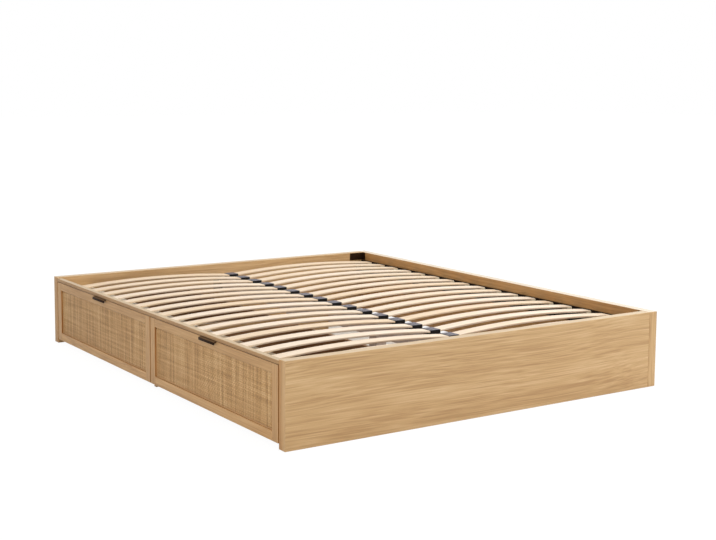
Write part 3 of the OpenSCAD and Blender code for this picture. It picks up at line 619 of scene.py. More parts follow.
class BedSizes(bpy.types.PropertyGroup):
    """Sizes that a user would change"""

    slat_count: IntProperty(name="Slats in a Row", description="Slats in each of the two rows",
                            default=17, min=2, max=40)
    slat_width: length("Slat Width", "Width of one slat", 53 * MM)
    slat_thickness: length("Slat Thickness", "Thickness of one slat", 8 * MM)
    slat_round: length("Slat Edge", "Radius of the rounded slat edges", 2.6 * MM)
    holder_length: length("Holder Length", "Length of a double holder along the slats", 48 * MM)
    holder_width: length("Holder Width", "Width of a double holder across the slats", 57 * MM)
    holder_height: length("Holder Height", "Height of a double holder on the beam", 18 * MM)
    seat_length: length("Seat Length", "Length of a slat's outer seat", 26 * MM)
    seat_height: length("Seat Height", "Height of a slat's outer seat with its lips", 8 * MM)
    cane_pitch: length("Cane Pitch", "Distance from one pair of strands to the next", 8 * MM)
    strand_width: length("Strand Width", "Width of one cane strand", 2.1 * MM)
    strand_thickness: length("Strand Thickness", "Thickness of one cane strand", 0.9 * MM)
    spline_width: length("Spline Width", "Width of the reed that holds the cane", 3.6 * MM)
    screw_head: length("Screw Head", "Radius of a screw head", 4 * MM)
    screw_shank: length("Screw Shank", "Radius of a screw shank", 2 * MM)


class BedColours(bpy.types.PropertyGroup):
    """Colours that a user would change"""

    oak: colour("Oak", "Middle tone of the oak-effect facing", "#caa574")
    oak_dark: colour("Oak Rings", "Darkest streaks of the facing", "#b48d5e")
    oak_light: colour("Oak Sapwood", "Lightest streaks of the facing", "#d9b88b")
    # The edge bands are partly bands of their own and partly painted top light and sheen on the upward
    # faces; the band on top of the closed side rail is paler still with painted light from above and
    # the right
    oak_edge: colour("Oak Edge Band", "Band on the upward edges of the panels", "#c4b295")
    oak_edge_pale: colour("Pale Edge Band", "Band on top of the closed side rail", "#e0dacd")
    oak_edge_deep: colour("Deep Edge Band", "Band on top of the rail over the drawers", "#c4b193")
    beech: colour("Beech", "Pale tone of the slats", "#ead8c3")
    beech_warm: colour("Beech Edge", "Warm tone of the slats and of their edges", "#d9bb93")
    board: colour("Board", "Pale board of the ledge", "#faf3e2")
    lining: colour("Drawer Box", "Brown board of the drawer boxes", "#a27c55")
    # The batten's near-black stain is painted shade: it stands for the shadow between the slat ends at
    # the closed rail
    batten: colour("Batten", "Stain of the batten on the closed side", "#22130a")
    cane: colour("Cane", "Middle tone of the woven cane", "#d6a86c")
    cane_pale: colour("Cane Skin", "Lightest strands", "#ecc88f")
    cane_dark: colour("Cane Core", "Darkest strands", "#ad804b")
    reed: colour("Reed Spline", "Reed that holds the edge of the cane", "#cfa474")
    bronze: colour("Pull", "Coating of the drawer pulls", "#241202")
    # The pull's top colour is a painted reflection on its upward faces
    bronze_sheen: colour("Pull Top", "Coating where it catches the light", "#7d5f40")
    nylon: colour("Holder", "Moulded nylon of the middle holders", "#0b0809")
    # The holder's top colour is a painted reflection on its upward faces
    nylon_top_sheen: colour("Holder Top", "Bleached tops of the middle holders", "#6e696f")


# ---- Pieces ----


def slat_tree():
    """Bowed slats side by side: a rounded bar is swept straight, keeps its height in the stack of
    veneers, is bowed, and is repeated along the bed with a tint for each slat."""
    tree, inputs, outputs = new_tree("Sprung Slats", [
        ("Length", "Float"), ("Width", "Float"), ("Thickness", "Float"),
        ("Edge", "Float"), ("Crown", "Float"), ("Pitch", "Float"),
        ("Count", "Int"), ("Start", "Vector"), ("Finish", "Material")])
    want = inputs.outputs
    end = add(tree, "ShaderNodeCombineXYZ", {0: want["Length"]}).outputs[0]
    line = add(tree, "GeometryNodeCurvePrimitiveLine", {"End": end})
    path = add(tree, "GeometryNodeResampleCurve", {"Curve": line.outputs[0], "Count": 33})
    quad = add(tree, "GeometryNodeCurvePrimitiveQuadrilateral",
               {"Width": want["Width"], "Height": want["Thickness"]})
    section = add(tree, "GeometryNodeFilletCurve",
                  {"Curve": quad.outputs[0], "Radius": want["Edge"], "Limit Radius": True,
                   "Count": 3}, mode="POLY")
    bar = add(tree, "GeometryNodeCurveToMesh", {
        "Curve": path.outputs[0], "Profile Curve": section.outputs[0], "Fill Caps": True})
    place = add(tree, "GeometryNodeInputPosition").outputs[0]
    x, _, z = add(tree, "ShaderNodeSeparateXYZ", {0: place}).outputs
    ply = add(tree, "ShaderNodeMath", {0: z, 1: want["Thickness"]}, operation="DIVIDE").outputs[0]
    kept = add(tree, "GeometryNodeStoreNamedAttribute",
               {"Geometry": bar.outputs[0], "Name": "ply", "Value": ply},
               data_type="FLOAT", domain="POINT")
    # A parabola: the share of the way from the middle runs from -1 to 1
    half = add(tree, "ShaderNodeMath", {0: want["Length"], 1: 0.5}, operation="MULTIPLY").outputs[0]
    share = add(tree, "ShaderNodeMath", {0: x, 1: half}, operation="DIVIDE").outputs[0]
    share = add(tree, "ShaderNodeMath", {0: share, 1: 1.0}, operation="SUBTRACT").outputs[0]
    fall = add(tree, "ShaderNodeMath", {0: share, 1: share}, operation="MULTIPLY").outputs[0]
    rise = add(tree, "ShaderNodeMath", {0: 1.0, 1: fall}, operation="SUBTRACT").outputs[0]
    middle = add(tree, "ShaderNodeMath", {0: want["Thickness"], 1: 0.5},
                 operation="MULTIPLY").outputs[0]
    lift = add(tree, "ShaderNodeMath", {0: rise, 1: want["Crown"], 2: middle},
               operation="MULTIPLY_ADD").outputs[0]
    offset = add(tree, "ShaderNodeCombineXYZ", {2: lift}).outputs[0]
    bowed = add(tree, "GeometryNodeSetPosition", {"Geometry": kept.outputs[0], "Offset": offset})
    step = add(tree, "ShaderNodeCombineXYZ", {1: want["Pitch"]}).outputs[0]
    places = add(tree, "GeometryNodeMeshLine", {
        "Count": want["Count"], "Start Location": want["Start"], "Offset": step})
    row = add(tree, "GeometryNodeInstanceOnPoints",
              {"Points": places.outputs[0], "Instance": bowed.outputs[0]})
    chance = add(tree, "FunctionNodeRandomValue", {"Seed": 7}, data_type="FLOAT")
    tinted = add(tree, "GeometryNodeStoreNamedAttribute",
                 {"Geometry": row.outputs[0], "Name": "tint", "Value": chance.outputs[1]},
                 data_type="FLOAT", domain="INSTANCE")
    close_tree(tree, inputs, outputs, tinted.outputs[0])
    return tree


def repeat_tree(name):
    """One made shape repeated at even steps along the bed."""
    tree, inputs, outputs = new_tree(name, [
        ("Shape", "Object"), ("Pitch", "Float"), ("Count", "Int"),
        ("Start", "Vector"), ("Finish", "Material")])
    want = inputs.outputs
    step = add(tree, "ShaderNodeCombineXYZ", {1: want["Pitch"]}).outputs[0]
    places = add(tree, "GeometryNodeMeshLine", {
        "Count": want["Count"], "Start Location": want["Start"], "Offset": step})
    shape = add(tree, "GeometryNodeObjectInfo", {"Object": want["Shape"]})
    row = add(tree, "GeometryNodeInstanceOnPoints",
              {"Points": places.outputs[0], "Instance": shape.outputs["Geometry"]})
    close_tree(tree, inputs, outputs, row.outputs[0])
    return tree


def scatter_tree(name):
    """One made shape set at each point of another mesh, turned as its attribute says."""
    tree, inputs, outputs = new_tree(name, [
        ("Shape", "Object"), ("Places", "Object"), ("Finish", "Material")])
    want = inputs.outputs
    shape = add(tree, "GeometryNodeObjectInfo", {"Object": want["Shape"]})
    places = add(tree, "GeometryNodeObjectInfo", {"Object": want["Places"]})
    turn = add(tree, "GeometryNodeInputNamedAttribute", {"Name": "turn"},
               data_type="FLOAT_VECTOR").outputs[0]
    row = add(tree, "GeometryNodeInstanceOnPoints", {
        "Points": places.outputs["Geometry"], "Instance": shape.outputs["Geometry"],
        "Rotation": turn})
    close_tree(tree, inputs, outputs, row.outputs[0])
    return tree


def row_of(node, width, count):
    """Pitch of a row and the middle of its first copy, from the CAD node's box."""
    low, high = box_of(node)
    return (high.y - low.y - width) / (count - 1), low.y + width / 2


class BED_OT_slats(bpy.types.Operator):
    """Makes both rows of bowed slats"""

    bl_idname = "bed.slats"
    bl_label = "Slats"

    def execute(self, context):
        sizes = context.scene.bed_sizes
        tree = slat_tree()
        for node in ("slats_drawer_side", "slats_closed_side"):
            low, high = box_of(node)
            pitch, first = row_of(node, sizes.slat_width, sizes.slat_count)
            mesh = grow(node, tree, {
                "Length": high.x - low.x, "Width": sizes.slat_width,
                "Thickness": sizes.slat_thickness, "Edge": sizes.slat_round,
                "Crown": high.z - low.z - sizes.slat_thickness, "Pitch": pitch,
                "Count": sizes.slat_count, "Start": (low.x, first, low.z), "Finish": beech()})
            finish_mesh(mesh, 30)
            piece(node + "_bent", mesh, None, "frame", "slat_beech", node)
        return {"FINISHED"}


def bevelled_box(bm, low, high, width, segments=2):
    """Adds a box with rounded edges to a bmesh."""
    low, high = Vector(low), Vector(high)
    made = bmesh.ops.create_cube(bm, size=1.0)["verts"]
    for vert in made:
        vert.co = Vector(low[i] + (vert.co[i] + 0.5) * (high[i] - low[i]) for i in range(3))
    edges = {edge for vert in made for edge in vert.link_edges}
    bmesh.ops.bevel(bm, geom=list(edges), offset=width, segments=segments, profile=0.5,
                    affect="EDGES")


def template(name, mesh):
    """An object that holds a shape while a tree repeats it."""
    obj = bpy.data.objects.new(name, mesh)
    bpy.context.scene.collection.objects.link(obj)
    return obj


def carved(name, block, cutters):
    """A block with other shapes cut out of it, as one closed mesh."""
    obj = template(name, block)
    for i, cutter in enumerate(cutters):
        tool = template("%s_cut_%d" % (name, i), cutter)
        modifier = obj.modifiers.new("cut", "BOOLEAN")
        modifier.operation = "DIFFERENCE"
        modifier.solver = "EXACT"
        modifier.object = tool
        depsgraph = bpy.context.evaluated_depsgraph_get()
        mesh = bpy.data.meshes.new_from_object(obj.evaluated_get(depsgraph), depsgraph=depsgraph)
        obj.modifiers.remove(modifier)
        obj.data = mesh
        bpy.data.objects.remove(tool)
    mesh = obj.data
    bpy.data.objects.remove(obj)
    return mesh


def end_slope(sizes):
    """Slope of a bowed slat at its ends, from the box of a row."""
    low, high = box_of("slats_drawer_side")
    return 4 * (high.z - low.z - sizes.slat_thickness) / (high.x - low.x)


def holder_shape(sizes):
    """Double holder: a rounded block with a pocket from each side and two shallow grooves on
    top, its base at z = 0."""
    half_x, half_y = sizes.holder_length / 2, sizes.holder_width / 2
    top = sizes.holder_height
    bm = bmesh.new()
    bevelled_box(bm, (-half_x, -half_y, 0), (half_x, half_y, top), HOLDER_ROUND, 3)
    block = mesh_of(bm, "holder")
    cutters = []
    for side in (-1, 1):
        bm = bmesh.new()
        # The cutter stands 4 mm proud of the open end
        inner, outer = side * HOLDER_WEB, side * (half_x + 4 * MM)
        low_y, high_y = -half_y + HOLDER_WALL, half_y - HOLDER_WALL
        # The pocket follows the slat, which rises away from its end
        z_in = HOLDER_BASE - POCKET_PLAY
        z_out = z_in + end_slope(sizes) * (abs(outer) - HOLDER_WEB)
        tall = sizes.slat_thickness + 2 * POCKET_PLAY
        corners = [(x, y, z + up * tall)
                   for x, z in ((inner, z_in), (outer, z_out)) for y in (low_y, high_y)
                   for up in (0, 1)]
        verts = [bm.verts.new(c) for c in corners]
        for quad in ((0, 1, 3, 2), (4, 6, 7, 5), (0, 4, 5, 1), (2, 3, 7, 6), (0, 2, 6, 4),
                     (1, 5, 7, 3)):
            bm.faces.new([verts[i] for i in quad])
        cutters.append(mesh_of(bm, "pocket"))
    for side in (-1, 1):
        bm = bmesh.new()
        middle = side * GROOVE_PLACE
        bevelled_box(bm, (middle - GROOVE_HALF, -half_y + GROOVE_END, top - GROOVE_DEPTH),
                     (middle + GROOVE_HALF, half_y - GROOVE_END, top + 3 * MM), 0.2 * MM, 1)
        cutters.append(mesh_of(bm, "groove"))
    return carved("holder", block, cutters)


def seat_shape(sizes):
    """Seat of a slat's outer end: a floor between two rounded lips, its base at z = 0."""
    half_y = sizes.holder_width / 2
    floor_z, lip, top = 3.7 * MM, 1.7 * MM, sizes.seat_height
    # The lips' top corners are taken off by 0.3 to 0.7 mm
    outline = [(-half_y, 0), (half_y, 0), (half_y, top - 0.7 * MM), (half_y - 0.6 * MM, top),
               (half_y - lip + 0.3 * MM, top), (half_y - lip, top - 0.5 * MM),
               (half_y - lip, floor_z)]
    outline += [(-y, z) for y, z in reversed(outline[2:])]
    bm = bmesh.new()
    face = bm.faces.new([bm.verts.new((0, y, z)) for y, z in outline])
    grown = bmesh.ops.extrude_face_region(bm, geom=[face])["geom"]
    for vert in grown:
        if isinstance(vert, bmesh.types.BMVert):
            vert.co.x += sizes.seat_length
    return mesh_of(bm, "seat")


class BED_OT_holders(bpy.types.Operator):
    """Makes the double holders on the beam and the seats of the outer slat ends"""

    bl_idname = "bed.holders"
    bl_label = "Slat Holders"

    def execute(self, context):
        sizes = context.scene.bed_sizes
        tree = repeat_tree("Slat Holders")
        low, high = box_of("slat_centre_holders")
        pitch, first = row_of("slat_centre_holders", sizes.holder_width, sizes.slat_count)
        black = Finishes.get("moulded_black_nylon", moulded_nylon, colour_of("nylon"), 0.4,
                             colour_of("nylon_top_sheen"))
        shape = template("holder", holder_shape(sizes))
        mesh = grow("slat_centre_holders_moulded", tree, {
            "Shape": shape, "Pitch": pitch, "Count": sizes.slat_count,
            "Start": ((low.x + high.x) / 2, first, high.z - sizes.holder_height),
            "Finish": black}, shape)
        finish_mesh(mesh)
        piece("slat_centre_holders_moulded", mesh, None, "frame", "black_plastic",
              "slat_centre_holders")
        self.seats(sizes, tree)
        return {"FINISHED"}

    def seats(self, sizes, tree):
        """Both rows of seats, joined into one piece."""
        low, high = box_of("slat_end_seats")
        pitch, first = row_of("slat_end_seats", sizes.holder_width, sizes.slat_count)
        pale = Finishes.get("natural_nylon", moulded_nylon, linear("#efe4c8"), 0.5)
        bm = bmesh.new()
        for x in (low.x, high.x - sizes.seat_length):
            shape = template("seat", seat_shape(sizes))
            mesh = grow("seats", tree, {
                "Shape": shape, "Pitch": pitch, "Count": sizes.slat_count,
                "Start": (x, first, high.z - sizes.seat_height), "Finish": pale}, shape)
            bm.from_mesh(mesh)
        mesh = bpy.data.meshes.new("slat_end_seats_moulded")
        bm.to_mesh(mesh)
        bm.free()
        finish_mesh(mesh)
        piece("slat_end_seats_moulded", mesh, pale, "frame", "natural_plastic", "slat_end_seats")


def cane_tree():
    """Open square weave: pairs of strands each way, which pass over and under in turn."""
    tree, inputs, outputs = new_tree("Woven Cane", [
        ("Across", "Int"), ("Up", "Int"), ("Pitch", "Float"),
        ("Strand Width", "Float"), ("Strand Thickness", "Float"),
        ("Weave", "Float"), ("Start", "Vector"), ("Finish", "Material")])
    want = inputs.outputs
    pitch = want["Pitch"]
    place = add(tree, "GeometryNodeInputPosition").outputs[0]
    _, y, z = add(tree, "ShaderNodeSeparateXYZ", {0: place}).outputs
    # Over and under in turn: the sign changes with each column and each line of crossings
    crossings = []
    for distance in (y, z):
        number = add(tree, "ShaderNodeMath", {0: distance, 1: pitch}, operation="DIVIDE").outputs[0]
        crossings.append(add(tree, "ShaderNodeMath", {0: number}, operation="ROUND").outputs[0])
    total = add(tree, "ShaderNodeMath", dict(enumerate(crossings)), operation="ADD").outputs[0]
    turns = add(tree, "ShaderNodeMath", {0: total, 1: math.pi}, operation="MULTIPLY").outputs[0]
    over = add(tree, "ShaderNodeMath", {0: turns}, operation="COSINE").outputs[0]
    pair, thick, wide = [
        add(tree, "ShaderNodeMath", {0: want[label], 1: share}, operation="MULTIPLY").outputs[0]
        for label, share in (("Strand Width", 0.62), ("Strand Thickness", 0.667),
                             ("Strand Width", 0.577))]
    flat = add(tree, "ShaderNodeCombineXYZ", {0: thick, 1: wide, 2: 1.0}).outputs[0]
    sheets = []
    for upright in (True, False):
        reach = want["Up"] if upright else want["Across"]
        count = want["Across"] if upright else want["Up"]
        tall = add(tree, "ShaderNodeMath", {0: reach, 1: pitch}, operation="MULTIPLY").outputs[0]
        # A three-sided rod with one ring of points at each crossing
        rod = add(tree, "GeometryNodeMeshCylinder", {
            "Vertices": 3, "Side Segments": reach, "Radius": 1.0, "Depth": tall})
        shift = add(tree, "ShaderNodeMath", {0: tall, 1: 0.5}, operation="MULTIPLY").outputs[0]
        to_start = add(tree, "ShaderNodeCombineXYZ", {2: shift}).outputs[0]
        laid = add(tree, "GeometryNodeTransform", {
            "Geometry": rod.outputs[0], "Translation": to_start, "Scale": flat})
        if not upright:
            laid = add(tree, "GeometryNodeTransform", {
                "Geometry": laid.outputs[0], "Rotation": (-math.pi / 2, 0.0, 0.0)})
        number = add(tree, "ShaderNodeMath", {0: count, 1: 1.0}, operation="ADD").outputs[0]
        step = add(tree, "ShaderNodeCombineXYZ", {1 if upright else 2: pitch}).outputs[0]
        joined = tree.nodes.new("GeometryNodeJoinGeometry")
        for side in (-1.0, 1.0):
            aside = add(tree, "ShaderNodeMath", {0: pair, 1: side}, operation="MULTIPLY").outputs[0]
            start = add(tree, "ShaderNodeCombineXYZ", {1 if upright else 2: aside}).outputs[0]
            places = add(tree, "GeometryNodeMeshLine", {
                "Count": number, "Start Location": start, "Offset": step})
            strands = add(tree, "GeometryNodeInstanceOnPoints", {
                "Points": places.outputs[0], "Instance": laid.outputs[0]})
            tree.links.new(strands.outputs[0], joined.inputs[0])
        real = add(tree, "GeometryNodeRealizeInstances", {"Geometry": joined.outputs[0]})
        height = add(tree, "ShaderNodeMath", {0: over, 1: want["Weave"]},
                     operation="MULTIPLY").outputs[0]
        height = add(tree, "ShaderNodeMath", {0: height, 1: 1.0 if upright else -1.0},
                     operation="MULTIPLY").outputs[0]
        away = add(tree, "ShaderNodeCombineXYZ", {0: height}).outputs[0]
        woven = add(tree, "GeometryNodeSetPosition", {"Geometry": real.outputs[0], "Offset": away})
        named = add(tree, "GeometryNodeStoreNamedAttribute", {
            "Geometry": woven.outputs[0], "Name": "upright", "Value": 1.0 if upright else 0.0},
            data_type="FLOAT", domain="POINT")
        sheets.append(named.outputs[0])
    joined = tree.nodes.new("GeometryNodeJoinGeometry")
    for geometry in sheets:
        tree.links.new(geometry, joined.inputs[0])
    placed = add(tree, "GeometryNodeTransform",
                 {"Geometry": joined.outputs[0], "Translation": want["Start"]})
    close_tree(tree, inputs, outputs, placed.outputs[0])
    return tree


class BED_OT_cane(bpy.types.Operator):
    """Weaves the cane of both drawer fronts and holds it with a reed spline"""

    bl_idname = "bed.cane"
    bl_label = "Woven Cane"

    def spline(self, half, width):
        """Half-round reed that runs round the opening, its back on the cane."""
        upper, lower = box_of(half + "_drawer_top_member"), box_of(half + "_drawer_bottom_member")
        back = box_of(half + "_drawer_cane")[0].x
        low, high = Vector((0, lower[0].y, lower[1].z)), Vector((0, upper[1].y, upper[0].z))
        # Five rings of four corners each, from the edge of the opening inwards
        rings = []
        for step in range(5):
            turn = math.pi * step / 4
            inset = width / 2 * (1 - math.cos(turn))
            front = back - width / 2 * math.sin(turn)
            rings.append([(front, y, z) for y, z in (
                (low.y + inset, low.z + inset), (high.y - inset, low.z + inset),
                (high.y - inset, high.z - inset), (low.y + inset, high.z - inset))])
        bm = bmesh.new()
        loops = [[bm.verts.new(point) for point in ring] for ring in rings]
        for one, other in zip(loops, loops[1:] + loops[:1]):
            band(bm, one, other)
        return mesh_of(bm, half + "_drawer_cane_spline")

    def execute(self, context):
        sizes = context.scene.bed_sizes
        tree = cane_tree()
        finish = Finishes.get("woven_rattan_cane", cane_strand, colour_of("cane_pale"),
                              colour_of("cane"), colour_of("cane_dark"))
        opening_top = box_of("foot_drawer_top_member")[0].z
        # The reed's dark colour is painted shade under the top member
        reed = Finishes.get("reed_spline", shaded_reed, colour_of("reed"), linear("#3a2411"),
                            opening_top)
        for half in HALVES:
            node = half + "_drawer_cane"
            low, high = box_of(node)
            pitch = sizes.cane_pitch
            across, up = int((high.y - low.y) / pitch), int((high.z - low.z) / pitch)
            mesh = grow(node + "_woven", tree, {
                "Across": across, "Up": up, "Pitch": pitch,
                "Strand Width": sizes.strand_width, "Strand Thickness": sizes.strand_thickness,
                "Weave": CANE_RISE,
                "Start": ((low.x + high.x) / 2, (low.y + high.y - across * pitch) / 2,
                          (low.z + high.z - up * pitch) / 2), "Finish": finish})
            finish_mesh(mesh, 75)
            piece(node + "_woven", mesh, None, DRAWER_BODY[half], "woven_cane", node)
            mesh = self.spline(half, sizes.spline_width)
            finish_mesh(mesh, 50)
            piece(node + "_spline", mesh, reed, DRAWER_BODY[half], "woven_cane")
        return {"FINISHED"}


class BED_OT_pulls(bpy.types.Operator):
    """Bends the metal pull on top of each drawer front"""

    bl_idname = "bed.pulls"
    bl_label = "Drawer Pulls"

    def execute(self, context):
        bronze = Finishes.get("bronze_coated_steel", coated_steel, colour_of("bronze"),
                              colour_of("bronze_sheen"), 0.5)
        for half in HALVES:
            node = half + "_drawer_pull"
            low, high = box_of(node)
            # Side view from the screwed seat over the edge and down to the lip
            path = [(high.x, high.z), (low.x + PULL_SLOPE_RUN, high.z),
                    (low.x, high.z - PULL_SLOPE_FALL), (low.x, low.z)]
            outline = rounded_strip(path, PULL_STEEL, PULL_BEND)
            bm = bmesh.new()
            verts = [bm.verts.new((x, low.y, z)) for x, z in outline]
            face = bm.faces.new(verts)
            grown = bmesh.ops.extrude_face_region(bm, geom=[face])["geom"]
            for vert in grown:
                if isinstance(vert, bmesh.types.BMVert):
                    vert.co.y = high.y
            sharp = [line for line in bm.edges
                     if line.is_manifold and line.calc_face_angle(0.0) > math.radians(50)]
            bmesh.ops.bevel(bm, geom=sharp, offset=PULL_EDGE, segments=2, profile=0.5,
                            affect="EDGES")
            mesh = mesh_of(bm, node + "_bent")
            finish_mesh(mesh, 30)
            piece(node + "_bent", mesh, bronze, DRAWER_BODY[half], "bronze_metal", node)
        return {"FINISHED"}


def rounded_strip(path, thick, bend):
    """Closed outline of a bent strip whose outer face follows a path with rounded corners."""
    outer, inner = [], []
    points = [Vector(p) for p in path]
    for i, point in enumerate(points):
        if i in (0, len(points) - 1):
            ahead = (points[1] - points[0] if i == 0 else points[-1] - points[-2]).normalized()
            side = Vector((-ahead.y, ahead.x))
            outer.append(point)
            inner.append(point + side * thick)
            continue
        before = (point - points[i - 1]).normalized()
        after = (points[i + 1] - point).normalized()
        turn = before.angle(after)
        # A bend takes less than half of either straight beside it
        straight = min((point - points[i - 1]).length, (points[i + 1] - point).length)
        cut = min(bend * math.tan(turn / 2), straight * 0.45)
        radius = cut / math.tan(turn / 2)
        start = point - before * cut
        side = Vector((-before.y, before.x))
        centre = start + side * radius
        for step in range(BEND_STEPS + 1):
            angle = turn * step / BEND_STEPS
            ray = -side * math.cos(angle) + before * math.sin(angle)
            outer.append(centre + ray * radius)
            inner.append(centre + ray * max(radius - thick, LEAST_BEND))
    return [(p.x, p.y) for p in outer] + [(p.x, p.y) for p in reversed(inner)]


def islands(obj):
    """Points of each loose part of a CAD node's mesh."""
    bm = bmesh.new()
    bm.from_mesh(obj.data)
    bmesh.ops.remove_doubles(bm, verts=bm.verts, dist=SAME_POINT)
    seen, found = set(), []
    for vert in bm.verts:
        if vert in seen:
            continue
        group, queue = [], [vert]
        seen.add(vert)
        while queue:
            one = queue.pop()
            group.append(one.co.copy())
            for edge in one.link_edges:
                other = edge.other_vert(one)
                if other not in seen:
                    seen.add(other)
                    queue.append(other)
        found.append(group)
    bm.free()
    return found


def screw_shape(sizes, reach):
    """Countersunk screw that points down from z = 0, with a cross recess in its head."""
    head, shank = sizes.screw_head, sizes.screw_shank
    rim, point, tip = 0.15 * MM, 2 * MM, 0.3 * MM
    rings = [(head, 0.0), (head, -rim), (shank, shank - head), (shank, -reach + point),
             (tip, -reach)]
    bm = bmesh.new()
    turns = [2 * math.pi * i / SCREW_SIDES for i in range(SCREW_SIDES)]
    loops = [[bm.verts.new((r * math.cos(turn), r * math.sin(turn), z)) for turn in turns]
             for r, z in rings]
    for upper, lower in zip(loops, loops[1:]):
        band(bm, upper, lower)
    bm.faces.new(loops[0])
    bm.faces.new(list(reversed(loops[-1])))
    block = mesh_of(bm, "screw")
    bm = bmesh.new()
    # The recess narrows towards its floor
    arm, half, drop, taper = head * 0.58, 0.45 * MM, 1.2 * MM, 0.55
    cross = [(half, half), (half, arm), (-half, arm), (-half, half), (-arm, half), (-arm, -half),
             (-half, -half), (-half, -arm), (half, -arm), (half, -half), (arm, -half), (arm, half)]
    top = [bm.verts.new((x, y, MM)) for x, y in cross]
    low = [bm.verts.new((x * taper, y * taper, -drop)) for x, y in cross]
    band(bm, top, low)
    bm.faces.new(top)
    bm.faces.new(list(reversed(low)))
    return carved("screw", block, [mesh_of(bm, "cross")])


class BED_OT_screws(bpy.types.Operator):
    """Sets a crosshead screw where each CAD screw is"""

    bl_idname = "bed.screws"
    bl_label = "Screws"

    def execute(self, context):
        sizes = context.scene.bed_sizes
        tree = scatter_tree("Screws")
        self.one_set(sizes, tree, "frame_screws", "frame", dark_steel(), "dark_metal")
        self.one_set(sizes, tree, "slide_mount_screws", "frame", zinc(), "zinc_steel")
        for half in HALVES:
            self.one_set(sizes, tree, half + "_drawer_screws", DRAWER_BODY[half], zinc(),
                         "zinc_steel")
        return {"FINISHED"}

    def one_set(self, sizes, tree, node, body, finish, slot):
        """All the screws of one CAD node, grouped by their length."""
        by_reach = {}
        for group in islands(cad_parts[node]):
            low = Vector(min(v[i] for v in group) for i in range(3))
            high = Vector(max(v[i] for v in group) for i in range(3))
            size = high - low
            axis = max(range(3), key=lambda i: size[i])
            middle = (low + high) / 2
            ends = []
            for z in (low[axis], high[axis]):
                ends.append(max((v - middle)[(axis + 1) % 3]
                                for v in group if abs(v[axis] - z) < SAME_LEVEL))
            head_high = ends[1] > ends[0]
            point = middle.copy()
            point[axis] = high[axis] if head_high else low[axis]
            up = Vector((0, 0, 0))
            up[axis] = 1 if head_high else -1
            by_reach.setdefault(round(size[axis], 5), []).append((point, up))
        bm = bmesh.new()
        for reach, places in by_reach.items():
            marks = bpy.data.meshes.new("places")
            marks.from_pydata([tuple(p) for p, _ in places], [], [])
            turns = marks.attributes.new("turn", "FLOAT_VECTOR", "POINT")
            for i, (_, up) in enumerate(places):
                turns.data[i].vector = Vector((0, 0, 1)).rotation_difference(up).to_euler()
            shape = template("screw", screw_shape(sizes, reach))
            dots = template("places", marks)
            mesh = grow(node + "_cross", tree, {"Shape": shape, "Places": dots, "Finish": finish},
                        shape)
            bpy.data.objects.remove(dots)
            bm.from_mesh(mesh)
        mesh = bpy.data.meshes.new(node + "_cross")
        bm.to_mesh(mesh)
        bm.free()
        finish_mesh(mesh)
        piece(node + "_cross", mesh, finish, body, slot, node)


class BED_OT_boards(bpy.types.Operator):
    """Faces the panels, rails, drawer fronts and hidden boards"""

    bl_idname = "bed.boards"
    bl_label = "Boards"

    def execute(self, context):
        foot, head = box_of("foot_panel"), box_of("head_panel")
        paint("bay_divider", oak("X"))
        # Painted shade on the panels' inner faces and on their end faces towards the drawers, on the
        # closed side rail's inner face, and on the face and underside of the rail over the drawers
        paint("foot_panel", oak("X", "foot", (AHEAD,), joint=(foot[0].y, foot[1].y), cut=0.15))
        paint("head_panel", oak("X", "head", (BACK,), 0.16, joint=(head[1].y, head[0].y)))
        paint("closed_side_rail", oak("Y", "side_rail", (LEFT,), 0.75, edge="oak_edge_pale"))
        paint("drawer_side_rail", oak("Y", "lip", (LEFT, DOWN), 0.45, RAIL_SHADE, "oak_edge_deep"))
        paint("drawer_bay_ledge", board("Y"))
        paint("ledge_cleats", board("X"))
        # Near-black batten as painted shade: the shadow between the slat ends at the closed rail
        paint("side_rail_batten", Finishes.get("dark_stained_batten", plain_timber, "Y",
                                               colour_of("batten"), linear("#150b04"), 0.7,
                                               0.1))
        paint("centre_beam", softwood("Y"))
        paint("centre_legs", softwood("Z"))
        paint("frame_dowels", softwood("X"))
        backing = Finishes.get("brown_hardboard", plain_timber, "Y", linear("#c9996a"),
                               linear("#b08352"), 0.75)
        for half in HALVES:
            # Painted shade on each member: over the whole member, and more under the top member, on
            # the bottom member's ledge and on the stiles' sides in the joints
            for part, finish in (("top_member", ("Y", "top_member", (DOWN,), 0.6, TOP_SHADE)),
                                 ("bottom_member", ("Y", "bottom_member", (UP,), 0.2, BOTTOM_SHADE)),
                                 ("end_stile", ("Z", "stile", (AHEAD, BACK), 1.0, STILE_SHADE)),
                                 ("middle_stile", ("Z", "stile", (AHEAD, BACK), 1.0, STILE_SHADE))):
                paint("%s_drawer_%s" % (half, part), oak(*finish))
            for part, axis in (("box_front", "Y"), ("box_back", "Y"), ("end_side", "X"),
                               ("middle_side", "X"), ("bottom", "Y")):
                paint("%s_drawer_%s" % (half, part), lining(axis))
            paint("%s_drawer_dowels" % half, softwood("Y"))
            paint("%s_drawer_cane_backing" % half, backing)
        return {"FINISHED"}


class BED_OT_metalwork(bpy.types.Operator):
    """Finishes the brackets, hangers, slides, bolts and glides"""

    bl_idname = "bed.metalwork"
    bl_label = "Metalwork"

    def execute(self, context):
        for node in ("beam_hangers", "corner_brackets"):
            paint(node, dark_steel())
        for node in ("leg_bolts", "cam_bolts", "cams"):
            paint(node, zinc())
        for half in HALVES:
            for part in ("slide_outer", "slide_middle", "slide_inner", "drawer_fittings"):
                paint("%s_%s" % (half, part), zinc())
        paint("leg_glides", Finishes.get("moulded_rubber", moulded_rubber, linear("#262524"),
                                         linear("#3a3836")))
        return {"FINISHED"}


# ---- Stage ----

# The floor's shadow fades out between these distances from the middle of the bed
FLOOR_NEAR, FLOOR_FAR = 1.5, 2.6
# The floor's one pale colour
FLOOR_TONE = "#ebe7e0"
